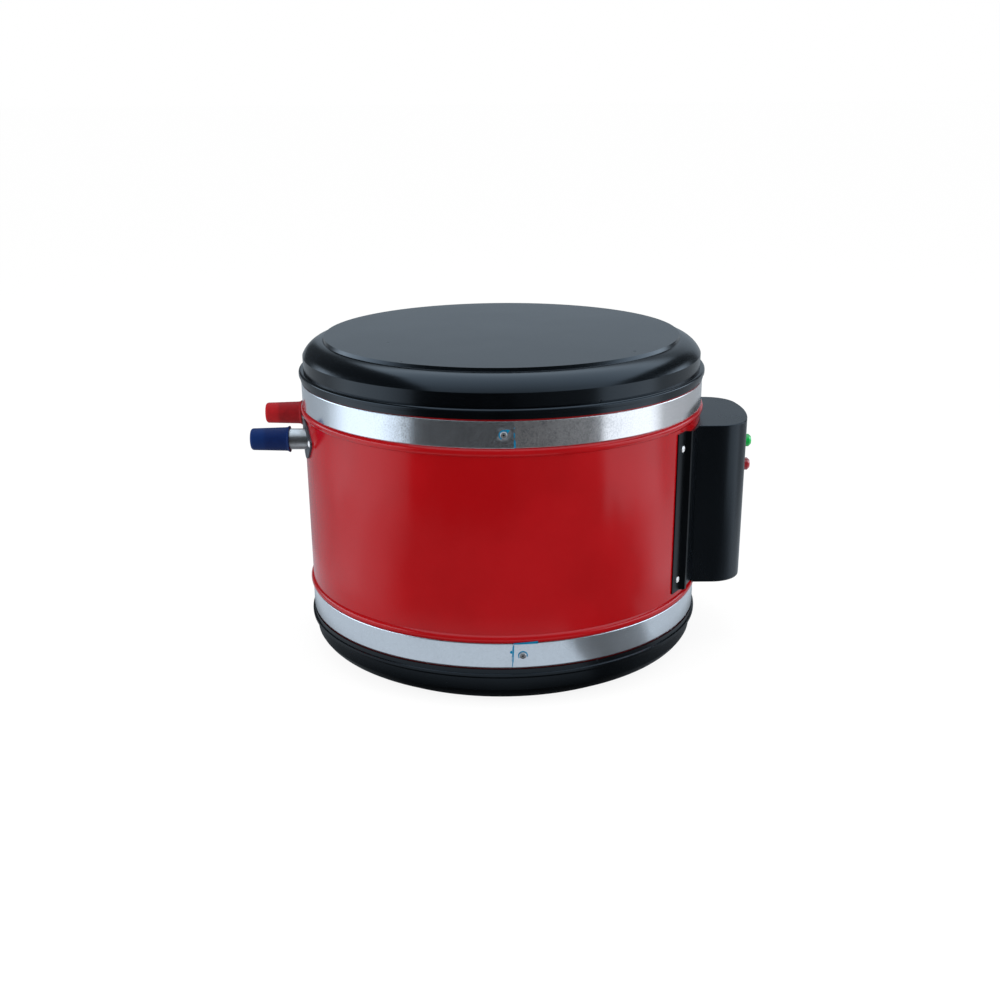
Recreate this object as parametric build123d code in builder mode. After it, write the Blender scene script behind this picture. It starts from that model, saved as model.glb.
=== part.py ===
"""Compact electric storage water heater: steel jacket, moulded covers, tank and control box.

Millimetres, +Z up. The origin is on the drum's axis, in the plane the bottom cover stands on.
+X points to the control box and -X the way the two water nipples point.
"""
import os
from math import asin, atan2, cos, degrees, radians, sin, sqrt

from build123d import *

os.makedirs("parts", exist_ok=True)

# Jacket
shell_radius = 204.5
shell_wall = 0.8
shell_visible = 243.7  # painted sheet between the edges of the two covers
rim_depth = 6.5  # how far the sheet's rim goes up into a cover's groove
ridge_height = 8.0
ridge_out = 2.6
seam_width = 8.0
seam_out = 0.7
seam_margin = 1.0

# Bands round the jacket
band_width = 25.0
band_thick = 0.5
band_to_cover = 1.6
band_to_ridge = 0.3
upper_lap_azimuth = 273.0
upper_lap_turn = -14.0
upper_rivet_azimuth = 270.4
lower_lap_azimuth = 272.35
lower_lap_turn = 14.0
lower_rivet_azimuth = 275.1

# Moulded covers
cover_height = 41.0  # from the skirt's edge to the flat disc
cover_wall = 2.4
cover_inset = 2.0  # from the jacket's face to the cover's upright wall
skirt_out = 1.2  # skirt's outer face beyond the jacket
spigot_depth = 4.5  # how far the cover's inner lip goes down inside the sheet
bead_out = 2.7
bead_bottom = 4.8
bead_top = 9.6
bead_round = 2.6
bead_slope = 0.7
crease_height = 23.1
shoulder_run = 19.1
shoulder_bulge = 2.95
shoulder_drop = 0.25
ledge_run = 1.8
ledge_drop = 3.45
disc_run = 1.5
step_run = 1.2
step_foot = 0.15

# Clearances
slip_gap = 0.3  # between pieces put together by hand
foam_gap = 0.6  # round the foam
skin_gap = 0.05  # between a curved face and the curved face it lies on
run_gap = 0.05  # radial, between pieces that move on each other

# Tank
tank_radius = 160.0
tank_wall = 2.0
barrel_height = 164.0
head_height = 36.0
head_knuckle = 24.0

# Water nipples, at the same height, one each side of the middle plane
nipple_spacing = 112.0
nipple_drop = 20.6  # below the upper ridge
nipple_radius = 10.4775
nipple_bore = 8.05
nipple_reach = 33.5  # beyond the jacket's radius
nipple_stub = 12.0  # inside the tank
nipple_chamfer = 1.0

# Nipple plates
plate_thick = 1.8
plate_height = 39.5
plate_ear_radius = 5.0
plate_hole_spacing = 42.0

# Caps on the nipples
cold_cap_past = 14.8  # from the nipple's end to the cap's tip
hot_cap_past = 18.0
cap_length = 39.4
cap_mouth_radius = 11.8
cap_tip_radius = 10.85
cap_lip_radius = 13.2
cap_lip_width = 1.6
cap_round = 3.0
cap_bore_depth = 26.0
cap_end_wall = 1.6

# Pop rivets
rivet_head_radius = 3.25
rivet_head_height = 1.15
rivet_head_edge = 0.3
rivet_shank_radius = 1.6
rivet_hole_gap = 0.1
rivet_pit_radius = 0.95
rivet_pit_depth = 0.8
rivet_grip = 4.5

# Control box
box_below_rail = 7.0
box_top_below_rail = 4.4
box_half_width = 63.6
box_depth = 49.5  # from the jacket's radius to the end face
box_end_bulge = 13.0
box_corner = 32.0
box_wall = 2.0
box_edge_round = 1.2
lip_foot_gap = 5.8  # how much higher than the box's floor the lips start
lip_rib = 2.0

# Rails that carry the control box
rail_above_ridge = 5.3
rail_below_ridge = 3.7
rail_sheet = 1.2
rail_start_azimuth = -34.3
rail_step_azimuth = -29.9
rail_step_out = 4.9
rail_hook = 4.0
rail_rivet_azimuth = -31.3
rail_low_rivet = 12.6  # above the rail's lower end
rail_high_rivet = 16.6  # below its upper end

# Element flange on the tank's side
flange_rise = 52.0  # above the barrel's lower end
flange_radius = 52.0
boss_height = 10.0
boss_bite = 16.0
flange_thick = 6.0
gasket_thick = 3.0
throat_radius = 38.0
gasket_radius = 50.0
gasket_bore = 36.0
bolt_circle = 43.5
bolt_count = 6
bolt_radius = 3.0
bolt_hole_radius = 3.3
bolt_head_radius = 5.5
bolt_head_height = 4.0
bolt_length = 18.0
bolt_hole_depth = 10.0
bolt_turn = 30.0

# Opening in the jacket and the foam, round the flange
window_gap = 3.0
window_corner = 10.0

# Heating element
element_radius = 4.0
element_half_pitch = 18.0
element_drop = 8.0
element_reach = 60.0  # how far past the drum's axis the bend lies
element_stub = 10.0
terminal_radius = 2.0
terminal_length = 8.0

# Thermostat
pocket_rise = 16.0
pocket_radius = 5.0
pocket_bore = 4.2
pocket_reach = 70.0
probe_radius = 4.0
probe_short = 10.0
collar_radius = 7.0
collar_length = 5.0
body_width = 42.0
body_height = 34.0
body_depth = 22.0
body_round = 2.0
dial_radius = 11.0
dial_thick = 9.0
dial_shaft_radius = 3.0
dial_shaft_length = 10.0
dial_offset = 6.0
dial_flutes = 12
dial_flute_radius = 1.2
dial_flute_depth = 0.8
pointer_width = 1.6
pointer_length = 7.0
pointer_depth = 0.6
button_radius = 2.5
button_length = 12.0
button_out = 3.0
button_offset = -14.0
button_round = 0.6

# Anode
anode_drop = 22.0
anode_radius = 9.0
anode_length = 150.0
anode_stud_radius = 4.0
anode_stud_past = 3.0
anode_nut_radius = 7.5
anode_nut_height = 6.5

# Tubes inside the tank, pushed over the nipples' inner ends
tube_wall = 1.5
tube_overlap = 10.0
tube_level = 7.0
tube_bend = 18.0
tube_past = 15.0  # beyond the barrel's end

# Lamps
lamp_drop = 32.1  # from the box's top to the green lamp
lamp_pitch = 25.6
lens_radius = 6.6
lens_length = 7.5
lens_chamfer = 2.4
lamp_body_radius = 5.4
lamp_body_length = 20.0
lamp_nut_radius = 8.5
lamp_nut_height = 4.0
lamp_hole_gap = 0.1
lamp_tag_spacing = 5.0
lamp_tag_thick = 0.8
lamp_tag_width = 2.8
lamp_tag_length = 6.0

# Terminal block and earth stud
block_width = 34.0
block_depth = 18.0
block_height = 26.0
block_above_window = 11.0
block_ways = 3
block_slot_width = 1.2
block_slot_depth = 7.0
block_pit_gap = 0.2
block_row_spacing = 13.0
block_screw_radius = 2.6
block_screw_height = 2.0
screw_slot_width = 0.7
screw_slot_depth = 0.6
earth_offset = 34.0
earth_radius = 2.0
earth_length = 16.0
earth_nut_radius = 4.0
earth_nut_height = 3.2

# Cable gland in the box's floor
gland_out = 27.5  # from the jacket's radius to the gland's axis
gland_thread_radius = 8.0
gland_thread_past = 2.0
gland_collar_radius = 11.0
gland_collar_height = 9.0
gland_corner_round = 0.5
gland_bore = 4.0
gland_nut_radius = 11.0
gland_nut_height = 5.0

# Heights that follow from the sizes above
bottom_edge = cover_height
top_edge = bottom_edge + shell_visible
total_height = top_edge + cover_height
shell_bottom = bottom_edge - rim_depth
shell_top = top_edge + rim_depth
lower_band_bottom = bottom_edge + band_to_cover
upper_band_bottom = top_edge - band_to_cover - band_width
lower_rivet_height = lower_band_bottom + band_width / 2
upper_rivet_height = upper_band_bottom + band_width / 2
lower_ridge = lower_band_bottom + band_width + band_to_ridge
upper_ridge = upper_band_bottom - band_to_ridge - ridge_height
nipple_height = upper_ridge - nipple_drop
barrel_bottom = (total_height - barrel_height) / 2
barrel_top = barrel_bottom + barrel_height
flange_height = barrel_bottom + flange_rise
window_height = 2 * (flange_radius + window_gap)
element_height = flange_height - element_drop
pocket_height = flange_height + pocket_rise
anode_height = flange_height - anode_drop
rail_bottom = lower_ridge + ridge_height + rail_above_ridge
rail_top = upper_ridge - rail_below_ridge
rail_rivet_heights = (rail_bottom + rail_low_rivet, rail_top - rail_high_rivet)
box_bottom = rail_bottom - box_below_rail
box_top = rail_top - box_top_below_rail
lamp_heights = (box_top - lamp_drop, box_top - lamp_drop - lamp_pitch)
block_middle = flange_height + window_height / 2 + block_above_window + block_height / 2

# Radii and distances that follow from the sizes above
shell_inner = shell_radius - shell_wall
band_inner = shell_radius + skin_gap
band_outer = band_inner + band_thick
lap_outer = band_outer + band_thick
cover_wall_radius = shell_radius - cover_inset
cover_wall_inner = cover_wall_radius - cover_wall
shoulder_radius = cover_wall_radius - shoulder_run
ledge_radius = shoulder_radius - ledge_run
disc_radius = ledge_radius - disc_run
tank_inner = tank_radius - tank_wall
nipple_side = nipple_spacing / 2
nipple_end = shell_radius + nipple_reach
nipple_inner = sqrt(tank_inner**2 - (nipple_side + nipple_radius) ** 2) - nipple_stub
tube_bore = nipple_radius + skin_gap
tube_radius = tube_bore + tube_wall
plate_inner = shell_radius + skin_gap
plate_outer = plate_inner + plate_thick
rail_inner = shell_radius + skin_gap
rail_outer = rail_inner + rail_sheet
land_outer = rail_outer + rail_step_out
land_inner = land_outer - rail_sheet
box_inner = shell_radius + slip_gap
box_back = sqrt(box_inner**2 - box_half_width**2) - box_wall
box_reach = shell_radius + box_depth
gland_distance = shell_radius + gland_out
flange_face = tank_radius + boss_height
gasket_face = flange_face + gasket_thick
plate_face = gasket_face + flange_thick
body_face = plate_face + collar_length
front_face = body_face + body_depth
block_face = shell_radius + skin_gap


def outward(azimuth, height, radius):
    """Plane on the jacket at an azimuth: its Z points straight out and its Y up."""
    turn = radians(azimuth)
    return Plane(
        origin=(radius * cos(turn), radius * sin(turn), height),
        x_dir=(-sin(turn), cos(turn), 0),
        z_dir=(cos(turn), sin(turn), 0),
    )


def facing_x(distance, side, height):
    """Plane that faces +X, with its X along +Y and its Y up."""
    return Plane(origin=(distance, side, height), x_dir=(0, 1, 0), z_dir=(1, 0, 0))


def facing_minus_x(distance, side, height):
    """Plane that faces -X, with its X along -Y and its Y up."""
    return Plane(origin=(-distance, side, height), x_dir=(0, -1, 0), z_dir=(-1, 0, 0))


def section_up(height):
    """Plane of a half section whose X is the radius and whose Y goes up from a height."""
    return Plane(origin=(0, 0, height), x_dir=(1, 0, 0), z_dir=(0, -1, 0))


def section_down(height):
    """Plane of a half section whose X is the radius and whose Y goes down from a height."""
    return Plane(origin=(0, 0, height), x_dir=(1, 0, 0), z_dir=(0, 1, 0))


def ring_sector(inner, outer, start, end):
    """Face between two circles round the origin, from one azimuth to another, in degrees."""
    with BuildLine() as outline:
        low = CenterArc((0, 0), inner, start, end - start)
        high = CenterArc((0, 0), outer, start, end - start)
        Line(low @ 0, high @ 0)
        Line(low @ 1, high @ 1)
    make_face(outline.edges())


def bulged_arc(start, end, rise):
    """Arc from start to end that rises from the middle of its chord, to the left of its way."""
    across = end[0] - start[0]
    up = end[1] - start[1]
    chord = sqrt(across**2 + up**2)
    middle = ((start[0] + end[0]) / 2 - up / chord * rise, (start[1] + end[1]) / 2 + across / chord * rise)
    ThreePointArc(start, middle, end)


def cover_half_section():
    """Half section of a moulded cover: radius across, height above the skirt's edge up."""
    skirt_outer = shell_radius + skirt_out
    bead_outer = shell_radius + bead_out
    groove_outer = shell_radius + slip_gap
    groove_inner = shell_inner - slip_gap
    ledge_height = cover_height - ledge_drop
    shoulder_height = ledge_height - shoulder_drop
    bead_start = (bead_outer - bead_round, bead_top)
    bead_end = (bead_outer, bead_top - bead_round)
    with BuildLine() as outline:
        Polyline(
            (0, cover_height),
            (disc_radius, cover_height),
            (disc_radius + step_run, ledge_height + step_foot),
            (ledge_radius, ledge_height),
            (shoulder_radius, shoulder_height),
        )
        bulged_arc((shoulder_radius, shoulder_height), (cover_wall_radius, crease_height), shoulder_bulge)
        Polyline((cover_wall_radius, crease_height), (cover_wall_radius, bead_top), bead_start)
        bulged_arc(bead_start, bead_end, bead_round * (1 - cos(radians(45))))
        Polyline(
            bead_end,
            (bead_outer, bead_bottom),
            (skirt_outer, bead_bottom - bead_slope),
            (skirt_outer, 0),
            (groove_outer, 0),
            (groove_outer, rim_depth),
            (groove_inner, rim_depth),
            (groove_inner, -spigot_depth),
            (cover_wall_inner, -spigot_depth),
            (cover_wall_inner, crease_height),
        )
        bulged_arc(
            (shoulder_radius, shoulder_height - cover_wall),
            (cover_wall_inner, crease_height),
            shoulder_bulge,
        )
        Polyline(
            (shoulder_radius, shoulder_height - cover_wall),
            (disc_radius + step_run - cover_wall, shoulder_height - cover_wall),
            (disc_radius - cover_wall, cover_height - cover_wall),
            (0, cover_height - cover_wall),
            (0, cover_height),
        )
    make_face(outline.edges())


def band_ring(bottom, lap_azimuth, lap_turn):
    """Band with its free end lapped over it, thinning out where it sinks under the lap."""
    with BuildSketch(Plane.XY.offset(bottom)) as strip:
        Circle(band_outer)
        Circle(band_inner, mode=Mode.SUBTRACT)
    extrude(strip.sketch, amount=band_width)
    lap = radians(lap_azimuth)
    fade = radians(lap_azimuth + lap_turn)
    half = radians(lap_azimuth + lap_turn / 2)
    buried = band_outer - band_thick / 2
    with BuildSketch(Plane.XY.offset(bottom)) as tongue:
        with BuildLine():
            Line((buried * cos(lap), buried * sin(lap)), (lap_outer * cos(lap), lap_outer * sin(lap)))
            middle = (band_outer + lap_outer) / 2
            ThreePointArc(
                (lap_outer * cos(lap), lap_outer * sin(lap)),
                (middle * cos(half), middle * sin(half)),
                (band_outer * cos(fade), band_outer * sin(fade)),
            )
            Line((band_outer * cos(fade), band_outer * sin(fade)), (buried * cos(fade), buried * sin(fade)))
            ThreePointArc(
                (buried * cos(fade), buried * sin(fade)),
                (buried * cos(half), buried * sin(half)),
                (buried * cos(lap), buried * sin(lap)),
            )
        make_face()
    extrude(tongue.sketch, amount=band_width)


def rivet_hole(azimuth, height, radius):
    """Hole for a rivet's shank, from a radius inwards."""
    with BuildSketch(outward(azimuth, height, radius)) as hole:
        Circle(rivet_shank_radius + rivet_hole_gap)
    extrude(hole.sketch, amount=-rivet_grip * 2, mode=Mode.SUBTRACT)


def nipple(side):
    """Straight tube that points along -X."""
    with BuildSketch(facing_minus_x(nipple_inner, side, nipple_height)) as ring:
        Circle(nipple_radius)
        Circle(nipple_bore, mode=Mode.SUBTRACT)
    extrude(ring.sketch, amount=nipple_end - nipple_inner)
    end = faces().sort_by(Axis.X)[0]
    chamfer(end.edges().sort_by(SortBy.RADIUS)[-1], length=nipple_chamfer)


def nipple_hole(side):
    """Hole that lets a nipple out along -X."""
    with BuildSketch(facing_minus_x(0, side, nipple_height)) as hole:
        Circle(nipple_radius + slip_gap)
    extrude(hole.sketch, amount=nipple_end, mode=Mode.SUBTRACT)


def window_hole():
    """Opening round the element flange, from the drum's axis out."""
    with BuildSketch(facing_x(0, 0, flange_height)) as hole:
        RectangleRounded(window_height, window_height, window_corner)
    extrude(hole.sketch, amount=box_reach, mode=Mode.SUBTRACT)


def nipple_plate(side):
    """Oval two-hole plate that lies on the jacket round a nipple."""
    azimuth = nipple_azimuth(side)
    with BuildSketch(outward(azimuth, nipple_height, shell_radius - plate_height)) as oval:
        with BuildLine():
            CenterArc((0, 0), plate_height / 2, 0, 360)
            CenterArc((-plate_hole_spacing / 2, 0), plate_ear_radius, 0, 360)
            CenterArc((plate_hole_spacing / 2, 0), plate_ear_radius, 0, 360)
        make_hull()
    extrude(oval.sketch, amount=plate_height * 1.5)
    with BuildSketch(Plane.XY.offset(nipple_height - plate_height)) as curve:
        Circle(plate_outer)
        Circle(plate_inner, mode=Mode.SUBTRACT)
    extrude(curve.sketch, amount=plate_height * 2, mode=Mode.INTERSECT)
    nipple_hole(side)
    for rivet_azimuth in plate_rivet_azimuths(side):
        rivet_hole(rivet_azimuth, nipple_height, plate_outer + rivet_grip)


def nipple_azimuth(side):
    """Azimuth at which a nipple leaves the jacket, in degrees."""
    return degrees(atan2(side, -sqrt(shell_radius**2 - side**2)))


def plate_rivet_azimuths(side):
    """Azimuths of the two rivets of a nipple's plate."""
    step = degrees(asin(plate_hole_spacing / 2 / shell_radius))
    return (nipple_azimuth(side) - step, nipple_azimuth(side) + step)


def cap_solid(side, past):
    """Soft cap: a slightly tapered cup with a flared lip."""
    mouth = nipple_end + past - cap_length
    inner = nipple_radius + run_gap
    start = Plane(origin=(-mouth, side, nipple_height), x_dir=(-1, 0, 0), z_dir=(0, -1, 0))
    with BuildSketch(start) as section:
        with BuildLine():
            Polyline(
                (0, 0),
                (0, cap_lip_radius),
                (cap_lip_width * 0.6, cap_lip_radius - 0.2),
                (cap_lip_width * 1.5, cap_mouth_radius + 0.2),
                (cap_lip_width * 3, cap_mouth_radius),
                (cap_length, cap_tip_radius),
                (cap_length, 0),
                (0, 0),
            )
        make_face()
        tip_corner = section.vertices().sort_by_distance((cap_length, cap_tip_radius))[0]
        fillet(tip_corner, radius=cap_round)
        with BuildLine():
            Polyline(
                (0, 0),
                (0, inner),
                (cap_bore_depth, inner),
                (cap_length - cap_end_wall, cap_tip_radius - cap_round),
                (cap_length - cap_end_wall, 0),
                (0, 0),
            )
        make_face(mode=Mode.SUBTRACT)
    revolve(section.sketch, axis=Axis((-mouth, side, nipple_height), (-1, 0, 0)))


def box_outline(shrink):
    """The control box in plan, straight sides and a gently curved end, drawn in by shrink."""
    half = box_half_width - shrink
    reach = box_reach - shrink
    with BuildSketch(mode=Mode.PRIVATE) as outline:
        with BuildLine():
            Line((box_back, -half), (reach - box_end_bulge, -half))
            ThreePointArc((reach - box_end_bulge, -half), (reach, 0), (reach - box_end_bulge, half))
            Line((reach - box_end_bulge, half), (box_back, half))
            Line((box_back, half), (box_back, -half))
        make_face()
        fillet(outline.vertices().group_by(Axis.X)[-1], radius=box_corner - shrink)
    return outline.sketch


def lamp_lens(height):
    """Domed lens: a short cylinder with a wide chamfer."""
    with BuildSketch(facing_x(box_reach + skin_gap, 0, height)) as disc:
        Circle(lens_radius)
    extrude(disc.sketch, amount=lens_length)
    chamfer(faces().sort_by(Axis.X)[-1].edges(), length=lens_chamfer)


def lamp_body(height):
    """Lamp holder that goes through the end face of the box and ends in its two tags."""
    with BuildSketch(facing_x(box_reach + skin_gap, 0, height)) as barrel:
        Circle(lamp_body_radius)
    extrude(barrel.sketch, amount=-lamp_body_length)
    with BuildSketch(facing_x(box_reach + skin_gap - lamp_body_length, 0, height)) as tags:
        with GridLocations(lamp_tag_spacing, 0, 2, 1):
            Rectangle(lamp_tag_thick, lamp_tag_width)
    extrude(tags.sketch, amount=-lamp_tag_length)


def tank_tube(side, end_height):
    """Bent tube pushed over a nipple: level, then round a bend to its open end."""
    start = -nipple_inner - tube_overlap
    level = -nipple_inner + tube_level
    upwards = end_height > nipple_height
    turn = tube_bend if upwards else -tube_bend
    section = Plane(origin=(0, side, 0), x_dir=(1, 0, 0), z_dir=(0, -1, 0))
    with BuildLine(section) as path:
        Line((start, nipple_height), (level, nipple_height))
        RadiusArc(
            (level, nipple_height),
            (level + tube_bend, nipple_height + turn),
            -tube_bend if upwards else tube_bend,
        )
        Line((level + tube_bend, nipple_height + turn), (level + tube_bend, end_height))
    with BuildSketch(facing_x(start, side, nipple_height)) as ring:
        Circle(tube_radius)
        Circle(tube_bore, mode=Mode.SUBTRACT)
    sweep(ring.sketch, path=path.wires()[0])


def dished_line(radius, height, knuckle):
    """Knuckle and crown of a dished head: radius across, height above the barrel's end up."""
    middle = radius - knuckle
    crown = (middle**2 + height**2 - knuckle**2) / (2 * (height - knuckle))
    meeting = degrees(atan2(crown - height, middle))
    CenterArc((middle, 0), knuckle, 0, meeting)
    CenterArc((0, height - crown), crown, meeting, 90 - meeting)


def tank_head(plane):
    """Dished head on the plane of its half section."""
    with BuildSketch(plane) as section:
        with BuildLine():
            dished_line(tank_radius, head_height, head_knuckle)
            dished_line(tank_inner, head_height - tank_wall, head_knuckle - tank_wall)
            Line((tank_inner, 0), (tank_radius, 0))
            Line((0, head_height - tank_wall), (0, head_height))
        make_face()
    revolve(section.sketch, axis=Axis.Z)


def head_room(plane):
    """Room in the foam for a dished head."""
    with BuildSketch(plane) as section:
        with BuildLine():
            dished_line(tank_radius + slip_gap, head_height + slip_gap, head_knuckle + slip_gap)
            Polyline((0, head_height + slip_gap), (0, 0), (tank_radius + slip_gap, 0))
        make_face()
    revolve(section.sketch, axis=Axis.Z, mode=Mode.SUBTRACT)


# Jacket and covers

with BuildPart() as outer_shell:
    with BuildSketch(Plane.XZ):
        with BuildLine():
            for face_radius in (shell_radius, shell_inner):
                for foot in (lower_ridge, upper_ridge):
                    ThreePointArc(
                        (face_radius, foot),
                        (face_radius + ridge_out, foot + ridge_height / 2),
                        (face_radius, foot + ridge_height),
                    )
                Line((face_radius, shell_bottom), (face_radius, lower_ridge))
                Line((face_radius, lower_ridge + ridge_height), (face_radius, upper_ridge))
                Line((face_radius, upper_ridge + ridge_height), (face_radius, shell_top))
            Line((shell_inner, shell_bottom), (shell_radius, shell_bottom))
            Line((shell_inner, shell_top), (shell_radius, shell_top))
        make_face()
    revolve(axis=Axis.Z)
    seam_foot = lower_ridge + ridge_height + seam_margin
    seam_half = degrees(seam_width / 2 / shell_radius)
    with BuildSketch(Plane.XY.offset(seam_foot)):
        ring_sector(shell_radius - shell_wall / 2, shell_radius + seam_out, 90 - seam_half, 90 + seam_half)
    extrude(amount=upper_ridge - seam_margin - seam_foot)
    window_hole()
    for side in (-nipple_side, nipple_side):
        nipple_hole(side)
        for rivet_azimuth in plate_rivet_azimuths(side):
            rivet_hole(rivet_azimuth, nipple_height, shell_radius + rivet_grip)
    rivet_hole(upper_rivet_azimuth, upper_rivet_height, shell_radius + rivet_grip)
    rivet_hole(lower_rivet_azimuth, lower_rivet_height, shell_radius + rivet_grip)
    for rivet_height in rail_rivet_heights:
        for rivet_azimuth in (rail_rivet_azimuth, -rail_rivet_azimuth):
            rivet_hole(rivet_azimuth, rivet_height, shell_radius + rivet_grip)
    with BuildSketch(facing_x(0, earth_offset, block_middle)):
        Circle(earth_radius + skin_gap)
    extrude(amount=box_reach, mode=Mode.SUBTRACT)

with BuildPart() as top_cover:
    with BuildSketch(section_up(top_edge)):
        cover_half_section()
    revolve(axis=Axis.Z)

with BuildPart() as bottom_cover:
    with BuildSketch(section_down(bottom_edge)):
        cover_half_section()
    revolve(axis=Axis.Z)

# Bands

with BuildPart() as upper_band:
    band_ring(upper_band_bottom, upper_lap_azimuth, upper_lap_turn)
    rivet_hole(upper_rivet_azimuth, upper_rivet_height, lap_outer + rivet_grip)

with BuildPart() as lower_band:
    band_ring(lower_band_bottom, lower_lap_azimuth, lower_lap_turn)
    rivet_hole(lower_rivet_azimuth, lower_rivet_height, lap_outer + rivet_grip)

# One rivet, head up, its head's underside at the origin

with BuildPart() as rivet_form:
    with BuildSketch(Plane.XZ):
        with BuildLine():
            Line((0, -rivet_grip), (rivet_shank_radius, -rivet_grip))
            Line((rivet_shank_radius, -rivet_grip), (rivet_shank_radius, 0))
            Line((rivet_shank_radius, 0), (rivet_head_radius, 0))
            Line((rivet_head_radius, 0), (rivet_head_radius, rivet_head_edge))
            bulged_arc((rivet_pit_radius, rivet_head_height), (rivet_head_radius, rivet_head_edge), rivet_head_edge)
            Line((rivet_pit_radius, rivet_head_height), (rivet_pit_radius, rivet_head_height - rivet_pit_depth))
            Line((rivet_pit_radius, rivet_head_height - rivet_pit_depth), (0, rivet_head_height - rivet_pit_depth))
            Line((0, rivet_head_height - rivet_pit_depth), (0, -rivet_grip))
        make_face()
    revolve(axis=Axis.Z)

with BuildPart() as band_rivets:
    with Locations(
        outward(upper_rivet_azimuth, upper_rivet_height, lap_outer + skin_gap),
        outward(lower_rivet_azimuth, lower_rivet_height, lap_outer + skin_gap),
    ):
        add(rivet_form.part)

with BuildPart() as plate_rivets:
    for side in (-nipple_side, nipple_side):
        for rivet_azimuth in plate_rivet_azimuths(side):
            with Locations(outward(rivet_azimuth, nipple_height, plate_outer + skin_gap)):
                add(rivet_form.part)

with BuildPart() as rail_rivets:
    for rivet_height in rail_rivet_heights:
        for rivet_azimuth in (rail_rivet_azimuth, -rail_rivet_azimuth):
            with Locations(outward(rivet_azimuth, rivet_height, rail_outer + skin_gap)):
                add(rivet_form.part)

# Tank

with BuildPart() as tank_barrel:
    with BuildSketch(Plane.XY.offset(barrel_bottom)):
        Circle(tank_radius)
        Circle(tank_inner, mode=Mode.SUBTRACT)
    extrude(amount=barrel_height)
    for side in (-nipple_side, nipple_side):
        with BuildSketch(facing_minus_x(0, side, nipple_height)):
            Circle(nipple_radius + skin_gap)
        extrude(amount=nipple_end, mode=Mode.SUBTRACT)
    with BuildSketch(facing_x(0, 0, flange_height)):
        Circle(throat_radius)
    extrude(amount=box_reach, mode=Mode.SUBTRACT)

with BuildPart() as tank_top_head:
    tank_head(section_up(barrel_top))

with BuildPart() as tank_bottom_head:
    tank_head(section_down(barrel_bottom))

with BuildPart() as element_boss:
    with BuildSketch(facing_x(tank_radius - boss_bite, 0, flange_height)):
        Circle(flange_radius)
        Circle(throat_radius, mode=Mode.SUBTRACT)
    extrude(amount=boss_bite + boss_height)
    with BuildSketch(Plane.XY.offset(barrel_bottom - flange_radius)):
        Circle(tank_radius + skin_gap)
    extrude(amount=barrel_height + 2 * flange_radius, mode=Mode.SUBTRACT)
    with BuildSketch(facing_x(flange_face, 0, flange_height)):
        with PolarLocations(bolt_circle, bolt_count, start_angle=bolt_turn):
            Circle(bolt_radius + skin_gap)
    extrude(amount=-bolt_hole_depth, mode=Mode.SUBTRACT)

with BuildPart() as flange_gasket:
    with BuildSketch(facing_x(flange_face, 0, flange_height)):
        Circle(gasket_radius)
        Circle(gasket_bore, mode=Mode.SUBTRACT)
        with PolarLocations(bolt_circle, bolt_count, start_angle=bolt_turn):
            Circle(bolt_hole_radius, mode=Mode.SUBTRACT)
    extrude(amount=gasket_thick)

with BuildPart() as element_flange:
    with BuildSketch(facing_x(gasket_face, 0, flange_height)):
        Circle(flange_radius)
        with PolarLocations(bolt_circle, bolt_count, start_angle=bolt_turn):
            Circle(bolt_hole_radius, mode=Mode.SUBTRACT)
        with Locations((-element_half_pitch, -element_drop), (element_half_pitch, -element_drop)):
            Circle(element_radius + skin_gap, mode=Mode.SUBTRACT)
        with Locations((0, pocket_rise)):
            Circle(pocket_radius + skin_gap, mode=Mode.SUBTRACT)
        with Locations((0, -anode_drop)):
            Circle(anode_stud_radius + skin_gap, mode=Mode.SUBTRACT)
    extrude(amount=flange_thick)

with BuildPart() as flange_bolts:
    with BuildSketch(facing_x(plate_face, 0, flange_height)):
        with PolarLocations(bolt_circle, bolt_count, start_angle=bolt_turn):
            RegularPolygon(bolt_head_radius, 6)
    extrude(amount=bolt_head_height)
    with BuildSketch(facing_x(plate_face, 0, flange_height)):
        with PolarLocations(bolt_circle, bolt_count, start_angle=bolt_turn):
            Circle(bolt_radius)
    extrude(amount=-bolt_length)

# Heating element, thermostat and anode

with BuildPart() as heating_element:
    element_plane = Plane.XY.offset(element_height)
    with BuildLine(element_plane) as element_path:
        Line((plate_face + element_stub, -element_half_pitch), (-element_reach, -element_half_pitch))
        ThreePointArc(
            (-element_reach, -element_half_pitch),
            (-element_reach - element_half_pitch, 0),
            (-element_reach, element_half_pitch),
        )
        Line((-element_reach, element_half_pitch), (plate_face + element_stub, element_half_pitch))
    with BuildSketch(facing_minus_x(-plate_face - element_stub, -element_half_pitch, element_height)):
        Circle(element_radius)
    sweep(path=element_path.wires()[0])

with BuildPart() as element_terminals:
    with BuildSketch(facing_x(plate_face + element_stub, 0, element_height)):
        with Locations((-element_half_pitch, 0), (element_half_pitch, 0)):
            Circle(terminal_radius)
    extrude(amount=terminal_length)

with BuildPart() as thermostat_pocket:
    with BuildSketch(facing_x(plate_face, 0, pocket_height)):
        Circle(pocket_radius)
    extrude(amount=-plate_face - pocket_reach)
    with BuildSketch(facing_x(plate_face, 0, pocket_height)):
        Circle(pocket_bore)
    extrude(amount=-plate_face - pocket_reach + pocket_radius, mode=Mode.SUBTRACT)

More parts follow.
